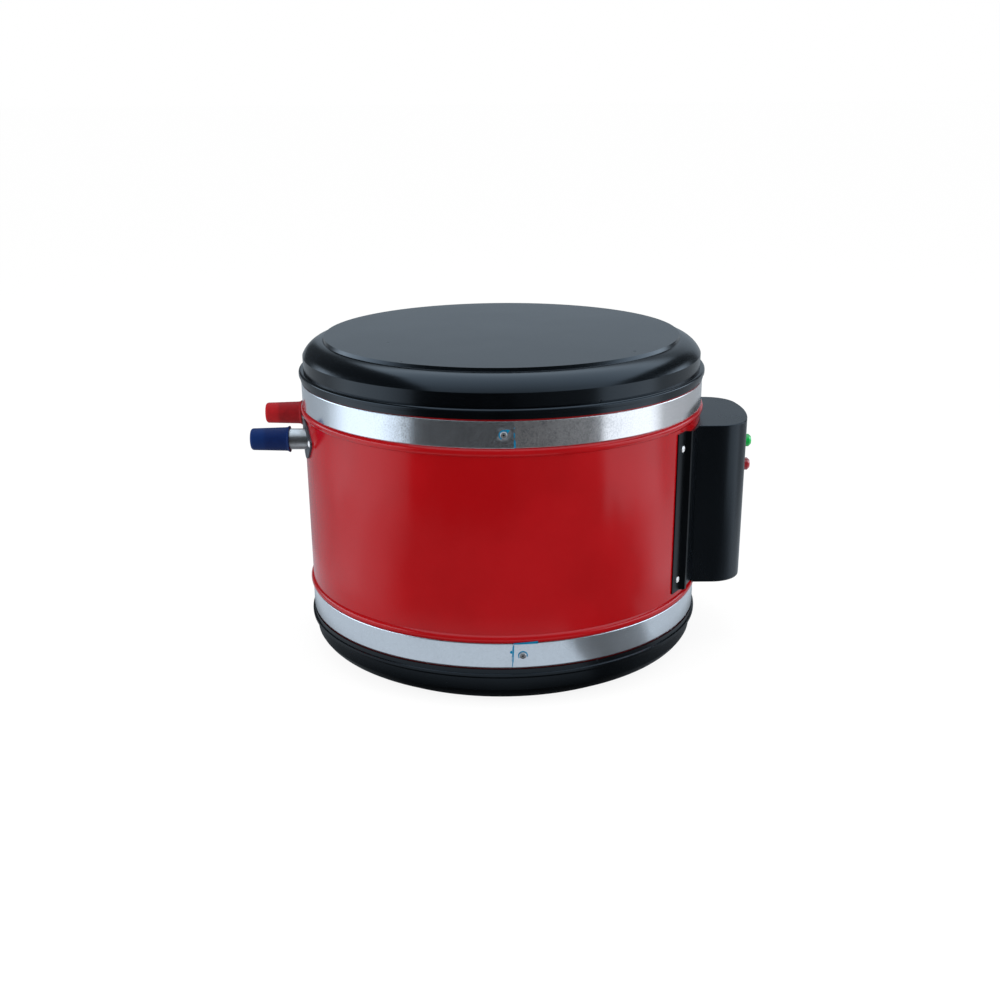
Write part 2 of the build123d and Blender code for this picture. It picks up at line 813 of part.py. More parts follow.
with BuildPart() as thermostat_body:
    with BuildSketch(facing_x(body_face, 0, pocket_height)):
        RectangleRounded(body_width, body_height, body_round)
    extrude(amount=body_depth)
    with BuildSketch(facing_x(plate_face, 0, pocket_height)):
        Circle(collar_radius)
    extrude(amount=collar_length)
    with BuildSketch(facing_x(plate_face, 0, pocket_height)):
        Circle(probe_radius)
    extrude(amount=-plate_face - pocket_reach + probe_short)
    with BuildSketch(facing_x(front_face, 0, pocket_height)):
        with Locations((dial_offset, 0)):
            Circle(dial_shaft_radius + run_gap)
    extrude(amount=-dial_shaft_length - slip_gap, mode=Mode.SUBTRACT)
    with BuildSketch(facing_x(front_face, 0, pocket_height)):
        with Locations((button_offset, 0)):
            Circle(button_radius + run_gap)
    extrude(amount=-button_length, mode=Mode.SUBTRACT)

with BuildPart() as thermostat_dial:
    with BuildSketch(facing_x(front_face + slip_gap, dial_offset, pocket_height)):
        Circle(dial_radius)
        with PolarLocations(dial_radius + dial_flute_radius - dial_flute_depth, dial_flutes):
            Circle(dial_flute_radius, mode=Mode.SUBTRACT)
    extrude(amount=dial_thick)
    with BuildSketch(facing_x(front_face + slip_gap + dial_thick, dial_offset, pocket_height)):
        with Locations((0, dial_radius - pointer_length / 2)):
            Rectangle(pointer_width, pointer_length)
    extrude(amount=-pointer_depth, mode=Mode.SUBTRACT)
    with BuildSketch(facing_x(front_face + slip_gap, dial_offset, pocket_height)):
        Circle(dial_shaft_radius)
    extrude(amount=-dial_shaft_length)

with BuildPart() as reset_button:
    with BuildSketch(facing_x(front_face + button_out, button_offset, pocket_height)):
        Circle(button_radius)
    extrude(amount=-button_length)
    fillet(faces().sort_by(Axis.X)[-1].edges(), radius=button_round)

with BuildPart() as anode_rod:
    with BuildSketch(facing_x(gasket_face - slip_gap, 0, anode_height)):
        Circle(anode_radius)
    extrude(amount=-anode_length)
    with BuildSketch(facing_x(gasket_face - slip_gap, 0, anode_height)):
        Circle(anode_stud_radius)
    extrude(amount=slip_gap + flange_thick + anode_nut_height + anode_stud_past)

with BuildPart() as anode_nut:
    with BuildSketch(facing_x(plate_face, 0, anode_height)):
        RegularPolygon(anode_nut_radius, 6)
        Circle(anode_stud_radius + skin_gap, mode=Mode.SUBTRACT)
    extrude(amount=anode_nut_height)

# Water nipples, their tubes inside the tank, plates and caps

with BuildPart() as cold_nipple:
    nipple(-nipple_side)

with BuildPart() as hot_nipple:
    nipple(nipple_side)

with BuildPart() as cold_dip_tube:
    tank_tube(-nipple_side, barrel_bottom - tube_past)

with BuildPart() as hot_draw_tube:
    tank_tube(nipple_side, barrel_top + tube_past)

with BuildPart() as cold_nipple_plate:
    nipple_plate(-nipple_side)

with BuildPart() as hot_nipple_plate:
    nipple_plate(nipple_side)

with BuildPart() as cold_cap:
    cap_solid(-nipple_side, cold_cap_past)

with BuildPart() as hot_cap:
    cap_solid(nipple_side, hot_cap_past)

# Control box and what it holds

with BuildPart() as control_rail_front:
    step_y = rail_inner * sin(radians(rail_step_azimuth))
    step_back_y = step_y + rail_sheet
    step_x = sqrt(rail_inner**2 - step_back_y**2)
    land_middle = (land_inner + land_outer) / 2
    land_start = degrees(asin(step_y / land_middle))
    land_end = land_start + degrees(rail_hook / land_middle)
    land_x = land_middle * cos(radians(land_start))
    with BuildSketch(Plane.XY.offset(rail_bottom)):
        ring_sector(rail_inner, rail_outer, rail_start_azimuth, degrees(asin(step_back_y / rail_inner)))
        with BuildLine():
            Polyline((step_x, step_y), (land_x, step_y), (land_x, step_back_y), (step_x, step_back_y), close=True)
        make_face()
        ring_sector(land_inner, land_outer, land_start, land_end)
    extrude(amount=rail_top - rail_bottom)
    for rivet_height in rail_rivet_heights:
        rivet_hole(rail_rivet_azimuth, rivet_height, rail_outer + rivet_grip)

with BuildPart() as control_rail_back:
    mirror(control_rail_front.part, about=Plane.XZ)

with BuildPart() as control_cover:
    with BuildSketch(Plane.XY.offset(box_bottom)):
        add(box_outline(0))
    extrude(amount=box_top - box_bottom)
    for end in (faces().sort_by(Axis.Z)[-1], faces().sort_by(Axis.Z)[0]):
        fillet(end.edges().filter_by(lambda edge: edge.center().X > box_back + box_wall), radius=box_edge_round)
    with BuildSketch(Plane.XY.offset(box_bottom + box_wall)):
        add(box_outline(box_wall))
    extrude(amount=box_top - box_bottom - 2 * box_wall, mode=Mode.SUBTRACT)
    with BuildSketch(Plane.XY.offset(box_bottom)):
        Circle(box_inner)
    extrude(amount=box_top - box_bottom, mode=Mode.SUBTRACT)
    with BuildSketch(Plane.XY.offset(box_bottom)):
        Circle(shell_radius + ridge_out + slip_gap)
    extrude(amount=box_wall, mode=Mode.SUBTRACT)
    lip_outer = box_inner + box_wall
    rib_outer = land_inner - slip_gap
    rib_end = degrees(asin((-step_back_y - slip_gap) / rib_outer))
    rib_start = rib_end - degrees(lip_rib / rib_outer)
    lip_start = degrees(asin((box_half_width - box_wall) / lip_outer))
    for turn in (-1, 1):
        with BuildSketch(Plane.XY.offset(box_bottom + lip_foot_gap)):
            ring_sector(box_inner, lip_outer, turn * lip_start, turn * rib_end)
            ring_sector(box_inner, rib_outer, turn * rib_start, turn * rib_end)
        extrude(amount=box_top - box_bottom - lip_foot_gap)
    for lamp_height in lamp_heights:
        with BuildSketch(facing_x(box_reach - box_wall * 2, 0, lamp_height)):
            Circle(lamp_body_radius + lamp_hole_gap)
        extrude(amount=box_wall * 3, mode=Mode.SUBTRACT)
    with BuildSketch(Plane.XY.offset(box_bottom)):
        with Locations((gland_distance, 0)):
            Circle(gland_thread_radius + slip_gap)
    extrude(amount=box_wall, mode=Mode.SUBTRACT)

with BuildPart() as green_lamp_lens:
    lamp_lens(lamp_heights[0])

with BuildPart() as red_lamp_lens:
    lamp_lens(lamp_heights[1])

with BuildPart() as green_lamp_body:
    lamp_body(lamp_heights[0])

with BuildPart() as red_lamp_body:
    lamp_body(lamp_heights[1])

with BuildPart() as lamp_nuts:
    for lamp_height in lamp_heights:
        with BuildSketch(facing_x(box_reach - box_wall - slip_gap, 0, lamp_height)):
            RegularPolygon(lamp_nut_radius, 6)
            Circle(lamp_body_radius + skin_gap, mode=Mode.SUBTRACT)
        extrude(amount=-lamp_nut_height)

with BuildPart() as terminal_block:
    with BuildSketch(facing_x(block_face, 0, block_middle)):
        Rectangle(block_width, block_height)
    extrude(amount=block_depth)
    with BuildSketch(facing_x(block_face + block_depth, 0, block_middle)):
        with GridLocations(block_width / block_ways, block_row_spacing, block_ways, 2):
            Circle(block_screw_radius + block_pit_gap)
    extrude(amount=-block_screw_height * 2, mode=Mode.SUBTRACT)
    with BuildSketch(facing_x(block_face + block_depth, 0, block_middle)):
        with GridLocations(block_width / block_ways, 0, block_ways - 1, 1):
            Rectangle(block_slot_width, block_height)
    extrude(amount=-block_slot_depth, mode=Mode.SUBTRACT)

with BuildPart() as terminal_screws:
    screw_face = block_face + block_depth - block_screw_height * 2
    with BuildSketch(facing_x(screw_face, 0, block_middle)):
        with GridLocations(block_width / block_ways, block_row_spacing, block_ways, 2):
            Circle(block_screw_radius)
    extrude(amount=block_screw_height)
    with BuildSketch(facing_x(screw_face + block_screw_height, 0, block_middle)):
        with GridLocations(block_width / block_ways, block_row_spacing, block_ways, 2):
            Rectangle(block_screw_radius * 2, screw_slot_width)
    extrude(amount=-screw_slot_depth, mode=Mode.SUBTRACT)

with BuildPart() as earth_stud:
    stud_seat = sqrt((shell_radius + skin_gap) ** 2 - (earth_offset - earth_nut_radius) ** 2)
    with BuildSketch(facing_x(stud_seat, earth_offset, block_middle)):
        RegularPolygon(earth_nut_radius, 6)
    extrude(amount=earth_nut_height)
    with BuildSketch(facing_x(stud_seat - earth_length / 2, earth_offset, block_middle)):
        Circle(earth_radius)
    extrude(amount=earth_length)

with BuildPart() as cable_gland:
    with BuildSketch(Plane.XY.offset(box_bottom - gland_collar_height)):
        with Locations((gland_distance, 0)):
            RegularPolygon(gland_collar_radius, 6)
    extrude(amount=gland_collar_height)
    with BuildSketch(Plane.XY.offset(box_bottom)):
        with Locations((gland_distance, 0)):
            Circle(gland_thread_radius)
    extrude(amount=box_wall + gland_nut_height + gland_thread_past)
    with BuildSketch(Plane.XY.offset(box_bottom - gland_collar_height)):
        with Locations((gland_distance, 0)):
            Circle(gland_bore)
    extrude(
        amount=gland_collar_height + box_wall + gland_nut_height + gland_thread_past,
        mode=Mode.SUBTRACT,
    )
    fillet(edges().filter_by(GeomType.LINE).filter_by(Axis.Z), radius=gland_corner_round)

with BuildPart() as gland_nut:
    with BuildSketch(Plane.XY.offset(box_bottom + box_wall)):
        with Locations((gland_distance, 0)):
            RegularPolygon(gland_nut_radius, 6)
            Circle(gland_thread_radius + skin_gap, mode=Mode.SUBTRACT)
    extrude(amount=gland_nut_height)

# Foam between the tank and the jacket

with BuildPart() as insulation:
    foam_outer = shell_inner - foam_gap
    foam_wall = cover_wall_inner - foam_gap
    lip_clear = spigot_depth + foam_gap
    ledge_clear = cover_height - cover_wall - foam_gap
    shoulder_clear = ledge_clear - ledge_drop - shoulder_drop
    crease_clear = crease_height - foam_gap
    disc_clear = disc_radius - cover_wall - foam_gap
    with BuildSketch(Plane.XZ):
        with BuildLine():
            Polyline(
                (0, bottom_edge - ledge_clear),
                (disc_clear, bottom_edge - ledge_clear),
                (disc_clear + step_run, bottom_edge - shoulder_clear),
                (shoulder_radius - foam_gap, bottom_edge - shoulder_clear),
                (foam_wall, bottom_edge - crease_clear),
                (foam_wall, bottom_edge + lip_clear),
                (foam_outer, bottom_edge + lip_clear),
                (foam_outer, top_edge - lip_clear),
                (foam_wall, top_edge - lip_clear),
                (foam_wall, top_edge + crease_clear),
                (shoulder_radius - foam_gap, top_edge + shoulder_clear),
                (disc_clear + step_run, top_edge + shoulder_clear),
                (disc_clear, top_edge + ledge_clear),
                (0, top_edge + ledge_clear),
                close=True,
            )
        make_face()
    revolve(axis=Axis.Z)
    head_room(section_up(barrel_top))
    head_room(section_down(barrel_bottom))
    with BuildSketch(Plane.XY.offset(barrel_bottom)):
        Circle(tank_radius + slip_gap)
    extrude(amount=barrel_height, mode=Mode.SUBTRACT)
    for side in (-nipple_side, nipple_side):
        nipple_hole(side)
        for rivet_azimuth in plate_rivet_azimuths(side):
            rivet_hole(rivet_azimuth, nipple_height, shell_radius)
    window_hole()
    rivet_hole(upper_rivet_azimuth, upper_rivet_height, shell_radius)
    rivet_hole(lower_rivet_azimuth, lower_rivet_height, shell_radius)
    for rivet_height in rail_rivet_heights:
        for rivet_azimuth in (rail_rivet_azimuth, -rail_rivet_azimuth):
            rivet_hole(rivet_azimuth, rivet_height, shell_radius)
    with BuildSketch(facing_x(shell_radius - earth_length, earth_offset, block_middle)):
        Circle(earth_radius + slip_gap)
    extrude(amount=earth_length * 2, mode=Mode.SUBTRACT)

pieces = {
    "outer_shell": outer_shell,
    "top_cover": top_cover,
    "bottom_cover": bottom_cover,
    "upper_band": upper_band,
    "lower_band": lower_band,
    "band_rivets": band_rivets,
    "plate_rivets": plate_rivets,
    "rail_rivets": rail_rivets,
    "tank_barrel": tank_barrel,
    "tank_top_head": tank_top_head,
    "tank_bottom_head": tank_bottom_head,
    "element_boss": element_boss,
    "flange_gasket": flange_gasket,
    "element_flange": element_flange,
    "flange_bolts": flange_bolts,
    "heating_element": heating_element,
    "element_terminals": element_terminals,
    "thermostat_pocket": thermostat_pocket,
    "thermostat_body": thermostat_body,
    "thermostat_dial": thermostat_dial,
    "reset_button": reset_button,
    "anode_rod": anode_rod,
    "anode_nut": anode_nut,
    "cold_nipple": cold_nipple,
    "hot_nipple": hot_nipple,
    "cold_dip_tube": cold_dip_tube,
    "hot_draw_tube": hot_draw_tube,
    "cold_nipple_plate": cold_nipple_plate,
    "hot_nipple_plate": hot_nipple_plate,
    "cold_cap": cold_cap,
    "hot_cap": hot_cap,
    "control_rail_front": control_rail_front,
    "control_rail_back": control_rail_back,
    "control_cover": control_cover,
    "green_lamp_lens": green_lamp_lens,
    "red_lamp_lens": red_lamp_lens,
    "green_lamp_body": green_lamp_body,
    "red_lamp_body": red_lamp_body,
    "lamp_nuts": lamp_nuts,
    "terminal_block": terminal_block,
    "terminal_screws": terminal_screws,
    "earth_stud": earth_stud,
    "cable_gland": cable_gland,
    "gland_nut": gland_nut,
    "insulation": insulation,
}

for name, piece in pieces.items():
    piece.part.label = name
    export_step(piece.part, f"parts/{name}.step")
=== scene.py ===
from math import atan2, cos, degrees, hypot, pi, radians, sin

import bpy
from mathutils import Matrix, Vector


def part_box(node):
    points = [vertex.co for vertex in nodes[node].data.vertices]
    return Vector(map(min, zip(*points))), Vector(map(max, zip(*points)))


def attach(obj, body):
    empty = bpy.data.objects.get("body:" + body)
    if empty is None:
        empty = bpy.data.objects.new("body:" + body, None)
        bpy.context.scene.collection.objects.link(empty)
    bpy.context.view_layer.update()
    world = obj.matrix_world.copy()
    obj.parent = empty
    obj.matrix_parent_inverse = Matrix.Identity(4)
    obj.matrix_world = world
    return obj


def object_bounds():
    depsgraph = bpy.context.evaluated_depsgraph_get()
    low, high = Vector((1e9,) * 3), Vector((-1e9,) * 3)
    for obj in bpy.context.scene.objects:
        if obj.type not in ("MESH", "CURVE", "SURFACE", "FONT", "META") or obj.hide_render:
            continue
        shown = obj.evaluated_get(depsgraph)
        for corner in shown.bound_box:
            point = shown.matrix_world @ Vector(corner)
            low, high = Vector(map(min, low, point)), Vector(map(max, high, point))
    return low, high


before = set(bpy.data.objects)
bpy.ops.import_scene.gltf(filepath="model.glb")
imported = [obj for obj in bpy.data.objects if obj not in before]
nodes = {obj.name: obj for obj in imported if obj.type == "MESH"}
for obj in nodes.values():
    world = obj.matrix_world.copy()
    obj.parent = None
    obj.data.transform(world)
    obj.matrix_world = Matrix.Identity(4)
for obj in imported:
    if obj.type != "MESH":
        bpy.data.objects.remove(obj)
cadLow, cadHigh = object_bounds()
print("Frame loaded:", len(nodes), "pieces")


# Shader maths: a Term is one socket's value, and maths on Terms adds the nodes for it


class Term:
    def __init__(self, finish, socket):
        self.finish = finish
        self.socket = socket

    def maths(self, operation, *others):
        return self.finish.maths(operation, self, *others)

    def __add__(self, other):
        return self.maths("ADD", other)

    def __radd__(self, other):
        return self.finish.maths("ADD", other, self)

    def __sub__(self, other):
        return self.maths("SUBTRACT", other)

    def __rsub__(self, other):
        return self.finish.maths("SUBTRACT", other, self)

    def __mul__(self, other):
        return self.maths("MULTIPLY", other)

    def __rmul__(self, other):
        return self.finish.maths("MULTIPLY", other, self)

    def __truediv__(self, other):
        return self.maths("DIVIDE", other)

    def __rtruediv__(self, other):
        return self.finish.maths("DIVIDE", other, self)

    def __abs__(self):
        return self.maths("ABSOLUTE")

    def limit(self, low=0.0, high=1.0):  # held between two values
        return self.maths("MAXIMUM", low).maths("MINIMUM", high)

    def rise(self, start, end):  # 0 up to start, then smoothly up to 1 at end
        return self.finish.node(
            "ShaderNodeMapRange",
            {"interpolation_type": "SMOOTHSTEP"},
            {0: self, 1: start, 2: end},
        )


class Finish:
    def __init__(self, tree):
        self.tree = tree
        tree.nodes.clear()

    def node(self, kind, settings, inputs, output=0):
        made = self.tree.nodes.new(kind)
        for name, value in settings.items():
            if name == "stops":
                ramp = made.color_ramp.elements
                for element, (place, shade) in zip((ramp[0], ramp[1]), (value[0], value[-1])):
                    element.position, element.color = place, (*shade, 1)
                for place, shade in value[1:-1]:
                    ramp.new(place).color = (*shade, 1)
            else:
                setattr(made, name, value)
        for name, value in inputs.items():
            if isinstance(value, Term):
                self.tree.links.new(value.socket, made.inputs[name])
            else:
                made.inputs[name].default_value = value
        return Term(self, made.outputs[output]) if made.outputs else made

    def maths(self, operation, *terms):
        return self.node("ShaderNodeMath", {"operation": operation}, dict(enumerate(terms)))

    def coordinates(self):
        return self.node("ShaderNodeTexCoord", {}, {}, "Object")

    def axes(self, vector):
        return [self.node("ShaderNodeSeparateXYZ", {}, {0: vector}, axis) for axis in range(3)]

    def stretched(self, vector, scale):  # the pattern's place, squeezed along some axes
        return self.node("ShaderNodeVectorMath", {"operation": "MULTIPLY"}, {0: vector, 1: scale})

    def noise(self, vector, scale, detail=2.0, roughness=0.5):
        return self.node(
            "ShaderNodeTexNoise",
            {"normalize": True},
            {"Vector": vector, "Scale": scale, "Detail": detail, "Roughness": roughness},
        )

    def blend(self, mask, first, second):
        return self.node("ShaderNodeMix", {"data_type": "RGBA"}, {0: mask, 6: first, 7: second}, 2)

    def tinted(self, colour, tint):
        return self.node(
            "ShaderNodeMix",
            {"data_type": "RGBA", "blend_type": "MULTIPLY"},
            {0: 1.0, 6: colour, 7: opaque(tint)},
            2,
        )

    def grey(self, level):
        return self.node("ShaderNodeCombineColor", {}, {0: level, 1: level, 2: level})

    def bump(self, height, depth):  # depth in metres
        return self.node("ShaderNodeBump", {}, {"Height": height, "Distance": depth, "Strength": 1.0})

    def surface(self, inputs):
        shader = self.node("ShaderNodeBsdfPrincipled", {}, inputs)
        self.node("ShaderNodeOutputMaterial", {}, {"Surface": shader})


def newFinish(name):
    material = bpy.data.materials.new(name)
    material.use_nodes = True
    return material, Finish(material.node_tree)


def opaque(shade):
    return (*shade, 1)


white = (1, 1, 1, 1)


# Camera

cameraSizes = {
    "place": (0.0, -1.3411, 0.5682),
    "pitch": 0.3712,  # looking down, in radians
    "roll": -0.0074,
    "lens": 47.16,
    "sensor": 36,
    "shiftX": -0.0032,
    "shiftY": 0.0864,
    "near": 0.01,
    "far": 100,
}
bpy.ops.object.camera_add(location=cameraSizes["place"])
camera = bpy.context.object
lookDown = Matrix.Rotation(pi / 2 - cameraSizes["pitch"], 4, "X")
leanOver = Matrix.Rotation(cameraSizes["roll"], 4, "Z")
camera.matrix_world = Matrix.Translation(cameraSizes["place"]) @ lookDown @ leanOver
camera.data.sensor_width = cameraSizes["sensor"]
camera.data.lens = cameraSizes["lens"]
camera.data.shift_x = cameraSizes["shiftX"]
camera.data.shift_y = cameraSizes["shiftY"]
camera.data.clip_start = cameraSizes["near"]
camera.data.clip_end = cameraSizes["far"]
bpy.context.scene.camera = camera
bpy.context.scene.view_settings.view_transform = "Standard"
print("Camera placed")


# Studio: a white floor and surround, and what the shiny finishes mirror

studio = {
    "sky": 0.72,  # light from all round on what isn't shiny
    "floorSize": 60,
    "floorWhite": (0.80, 0.80, 0.80),
    "floorGlow": 0.88,
    "shadowWhite": (0.16, 0.16, 0.16),  # what the object's shadow takes from the floor
    "tint": (0.80, 0.90, 1.0),  # cool daylight in the reflections
    "sideLamp": 13.5,  # watts
    "sideLampSize": 1.1,
    "sideLampPlace": (1.55, -0.75, 0.75),
    "topLamp": 7.0,
    "topLampSize": 1.2,
    "topLampHeight": 1.9,
}

rings = {  # what the jacket mirrors on the floor: (degrees from the front, brightness)
    "footReach": (0.23, 0.29),  # inside this the floor lies in the object's own shade
    "nearReach": (0.37, 0.43),
    "farReach": (0.71, 0.80),
    "footLevel": 0.03,
    "footSides": (25, 65),
    "footSideLevel": 0.13,
    "blurScale": 7.0,
    "blurTurn": 26,  # degrees by which the stops wander
    "blurReach": 0.40,
    "far": [
        (-180, 0.50), (-128, 0.40), (-108, 0.50), (-90, 1.40), (-66, 1.45),
        (-54, 0.95), (-47.5, 0.50), (-46.5, 0.045), (-20, 0.030), (5, 0.035),
        (7, 0.085), (22, 0.11), (27, 0.14), (51, 0.19), (54, 1.30),
        (86, 1.45), (94, 0.55), (126, 0.42), (180, 0.50),
    ],
    "middle": [
        (-180, 0.3), (-100, 0.55), (-78, 1.15), (-58, 0.80), (-44, 0.20), (0, 0.16),
        (54, 0.16), (66, 0.28), (84, 1.15), (100, 0.70), (180, 0.3),
    ],
    # in the near ring the dip from 31 to 60 degrees is a painted shadow of the control box on the floor
    "near": [
        (-180, 0.62), (-60, 0.66), (27, 0.66), (31, 0.20), (38, 0.09),
        (52, 0.14), (60, 0.22), (66, 0.64), (180, 0.6),
    ],
}


def ringShade(finish, angle, ring):
    turn = angle / 360 + 0.5
    stops = [(place / 360 + 0.5, (level, level, level)) for place, level in rings[ring]]
    return finish.node("ShaderNodeValToRGB", {"stops": stops}, {0: turn})


def floorMirror(finish):
    x, y = finish.axes(finish.coordinates())[:2]
    radius = (x * x + y * y).maths("SQRT")
    angle = x.maths("ARCTAN2", y * -1) * (180 / pi)
    blur = finish.noise(finish.coordinates(), scale=rings["blurScale"], detail=3.0)
    wander = (blur - 0.5) * rings["blurTurn"]
    far = ringShade(finish, angle, "far")
    middle = ringShade(finish, angle + wander * 0.5, "middle")
    near = ringShade(finish, angle + wander, "near")
    edge = radius + (blur - 0.5) * rings["blurReach"]
    outer = finish.blend(edge.rise(*rings["farReach"]), middle, far)
    inner = finish.blend(radius.rise(*rings["nearReach"]), near, outer)
    foot = finish.grey(rings["footLevel"] + abs(angle).rise(*rings["footSides"]) * rings["footSideLevel"])
    shaded = finish.blend(radius.rise(*rings["footReach"]), foot, inner)
    return finish.tinted(shaded, studio["tint"])


bpy.ops.object.select_all(action="DESELECT")
bpy.ops.mesh.primitive_plane_add(size=studio["floorSize"], location=(0, 0, cadLow.z))
floor = bpy.context.object
floor.name = "floor"
floorMaterial, floorFinish = newFinish("floor")
floorMaterial.cycles.emission_sampling = "NONE"
seenDirectly = floorFinish.node("ShaderNodeLightPath", {}, {}, "Is Camera Ray")
seenInGloss = floorFinish.node("ShaderNodeLightPath", {}, {}, "Is Glossy Ray")
mirrored = floorFinish.node("ShaderNodeEmission", {}, {"Color": floorMirror(floorFinish), "Strength": 1.0})
plainFloor = floorFinish.node("ShaderNodeBsdfDiffuse", {}, {"Color": opaque(studio["floorWhite"])})
whiteGlow = floorFinish.node("ShaderNodeEmission", {}, {"Color": white, "Strength": studio["floorGlow"]})
shadowCatch = floorFinish.node("ShaderNodeBsdfDiffuse", {}, {"Color": opaque(studio["shadowWhite"])})
whiteFloor = floorFinish.node("ShaderNodeAddShader", {}, {0: whiteGlow, 1: shadowCatch})
unseen = floorFinish.node("ShaderNodeMixShader", {}, {0: seenInGloss, 1: plainFloor, 2: mirrored})
floorShader = floorFinish.node("ShaderNodeMixShader", {}, {0: seenDirectly, 1: unseen, 2: whiteFloor})
floorFinish.node("ShaderNodeOutputMaterial", {}, {"Surface": floorShader})
floor.data.materials.append(floorMaterial)

ceilingPanel = {  # in units of the ceiling's height
    "left": 0.57,
    "right": 1.08,
    "leftTurn": 0.2,  # in front of these the sides splay out
    "rightTurn": 0.6,
    "splay": 0.3,
    "leftSoft": (-0.03, 0.03),
    "rightSoft": (-0.05, 0.05),
    "front": (-1.08, -1.0),
    "back": (0.8, 1.9),
    "dimming": (-1.1, 0.3),
    "dimmest": 0.45,
    "level": 1.80,
}
backWall = {
    "left": (-0.34, -0.22),
    "right": (0.45, 0.75),
    "start": (0.1, 0.4),
    "level": 0.46,
    "dimming": (0.22, 0.48),
    "dimmer": 0.25,
}
sideWalls = {"start": (2.2, 3.4), "ends": (0.45, 0.75), "foot": (0.0, 0.1), "level": 3.0}
darkCeiling = {"level": 0.085, "tint": (0.78, 0.93, 1.08)}

surround = bpy.data.worlds.new("surround")
bpy.context.scene.world = surround
surround.use_nodes = True
surround.cycles.sampling_method = "NONE"
sky = Finish(surround.node_tree)
skyX, skyY, skyZ = sky.axes(sky.node("ShaderNodeTexCoord", {}, {}, "Generated"))
upness = skyZ.maths("MAXIMUM", 0.02)
across = skyX / upness  # where the ray meets a ceiling one unit up
along = skyY / upness
leftSplay = (ceilingPanel["leftTurn"] - along).maths("MAXIMUM", 0) * ceilingPanel["splay"]
rightSplay = (ceilingPanel["rightTurn"] - along).maths("MAXIMUM", 0) * ceilingPanel["splay"]
leftSide = (across + ceilingPanel["left"] + leftSplay).rise(*ceilingPanel["leftSoft"])
rightSide = 1 - (across - ceilingPanel["right"] - rightSplay).rise(*ceilingPanel["rightSoft"])
panelEnds = along.rise(*ceilingPanel["front"]) * (1 - along.rise(*ceilingPanel["back"]))
panelDim = ceilingPanel["dimmest"] + along.rise(*ceilingPanel["dimming"]) * (1 - ceilingPanel["dimmest"])
panelGlow = leftSide * rightSide * panelEnds * panelDim * ceilingPanel["level"]
sideways = skyX / skyY.maths("MAXIMUM", 0.05)
wallSides = sideways.rise(*backWall["left"]) * (1 - sideways.rise(*backWall["right"]))
wallLevel = backWall["level"] - skyZ.rise(*backWall["dimming"]) * backWall["dimmer"]
wallGlow = wallSides * skyY.rise(*backWall["start"]) * wallLevel
sideEnds = (1 - abs(skyY).rise(*sideWalls["ends"])) * skyZ.rise(*sideWalls["foot"])
sideGlow = abs(across).rise(*sideWalls["start"]) * sideEnds * sideWalls["level"]
skyLevel = (darkCeiling["level"] + panelGlow + sideGlow).maths("MAXIMUM", wallGlow)
skyShade = sky.tinted(sky.grey(skyLevel), darkCeiling["tint"])
glossRay = sky.node("ShaderNodeLightPath", {}, {}, "Is Glossy Ray")
cameraRay = sky.node("ShaderNodeLightPath", {}, {}, "Is Camera Ray")
evenSky = (studio["sky"], studio["sky"], studio["sky"], 1)
shown = sky.blend(cameraRay, sky.blend(glossRay, evenSky, skyShade), white)
background = sky.node("ShaderNodeBackground", {}, {"Color": shown, "Strength": 1.0})
sky.node("ShaderNodeOutputWorld", {}, {"Surface": background})


def addLamp(name, place, power, size):  # a square lamp that looks at the middle of the base
    bpy.ops.object.light_add(type="AREA", location=place)
    lamp = bpy.context.object
    lamp.name = name
    lamp.data.energy = power
    lamp.data.size = size
    lamp.rotation_euler = (-lamp.location).to_track_quat("-Z", "Y").to_euler()
    lamp.visible_glossy = False


lampX, lampY, lampZ = studio["sideLampPlace"]
addLamp("lampLeft", (-lampX, lampY, lampZ), studio["sideLamp"], studio["sideLampSize"])
addLamp("lampRight", (lampX, lampY, lampZ), studio["sideLamp"], studio["sideLampSize"])
addLamp("lampTop", (0, 0, studio["topLampHeight"]), studio["topLamp"], studio["topLampSize"])
print("Studio lit")


# Finishes

coolShine = (0.86, 0.99, 1.12, 1)  # what the black pieces mirror is a little blue


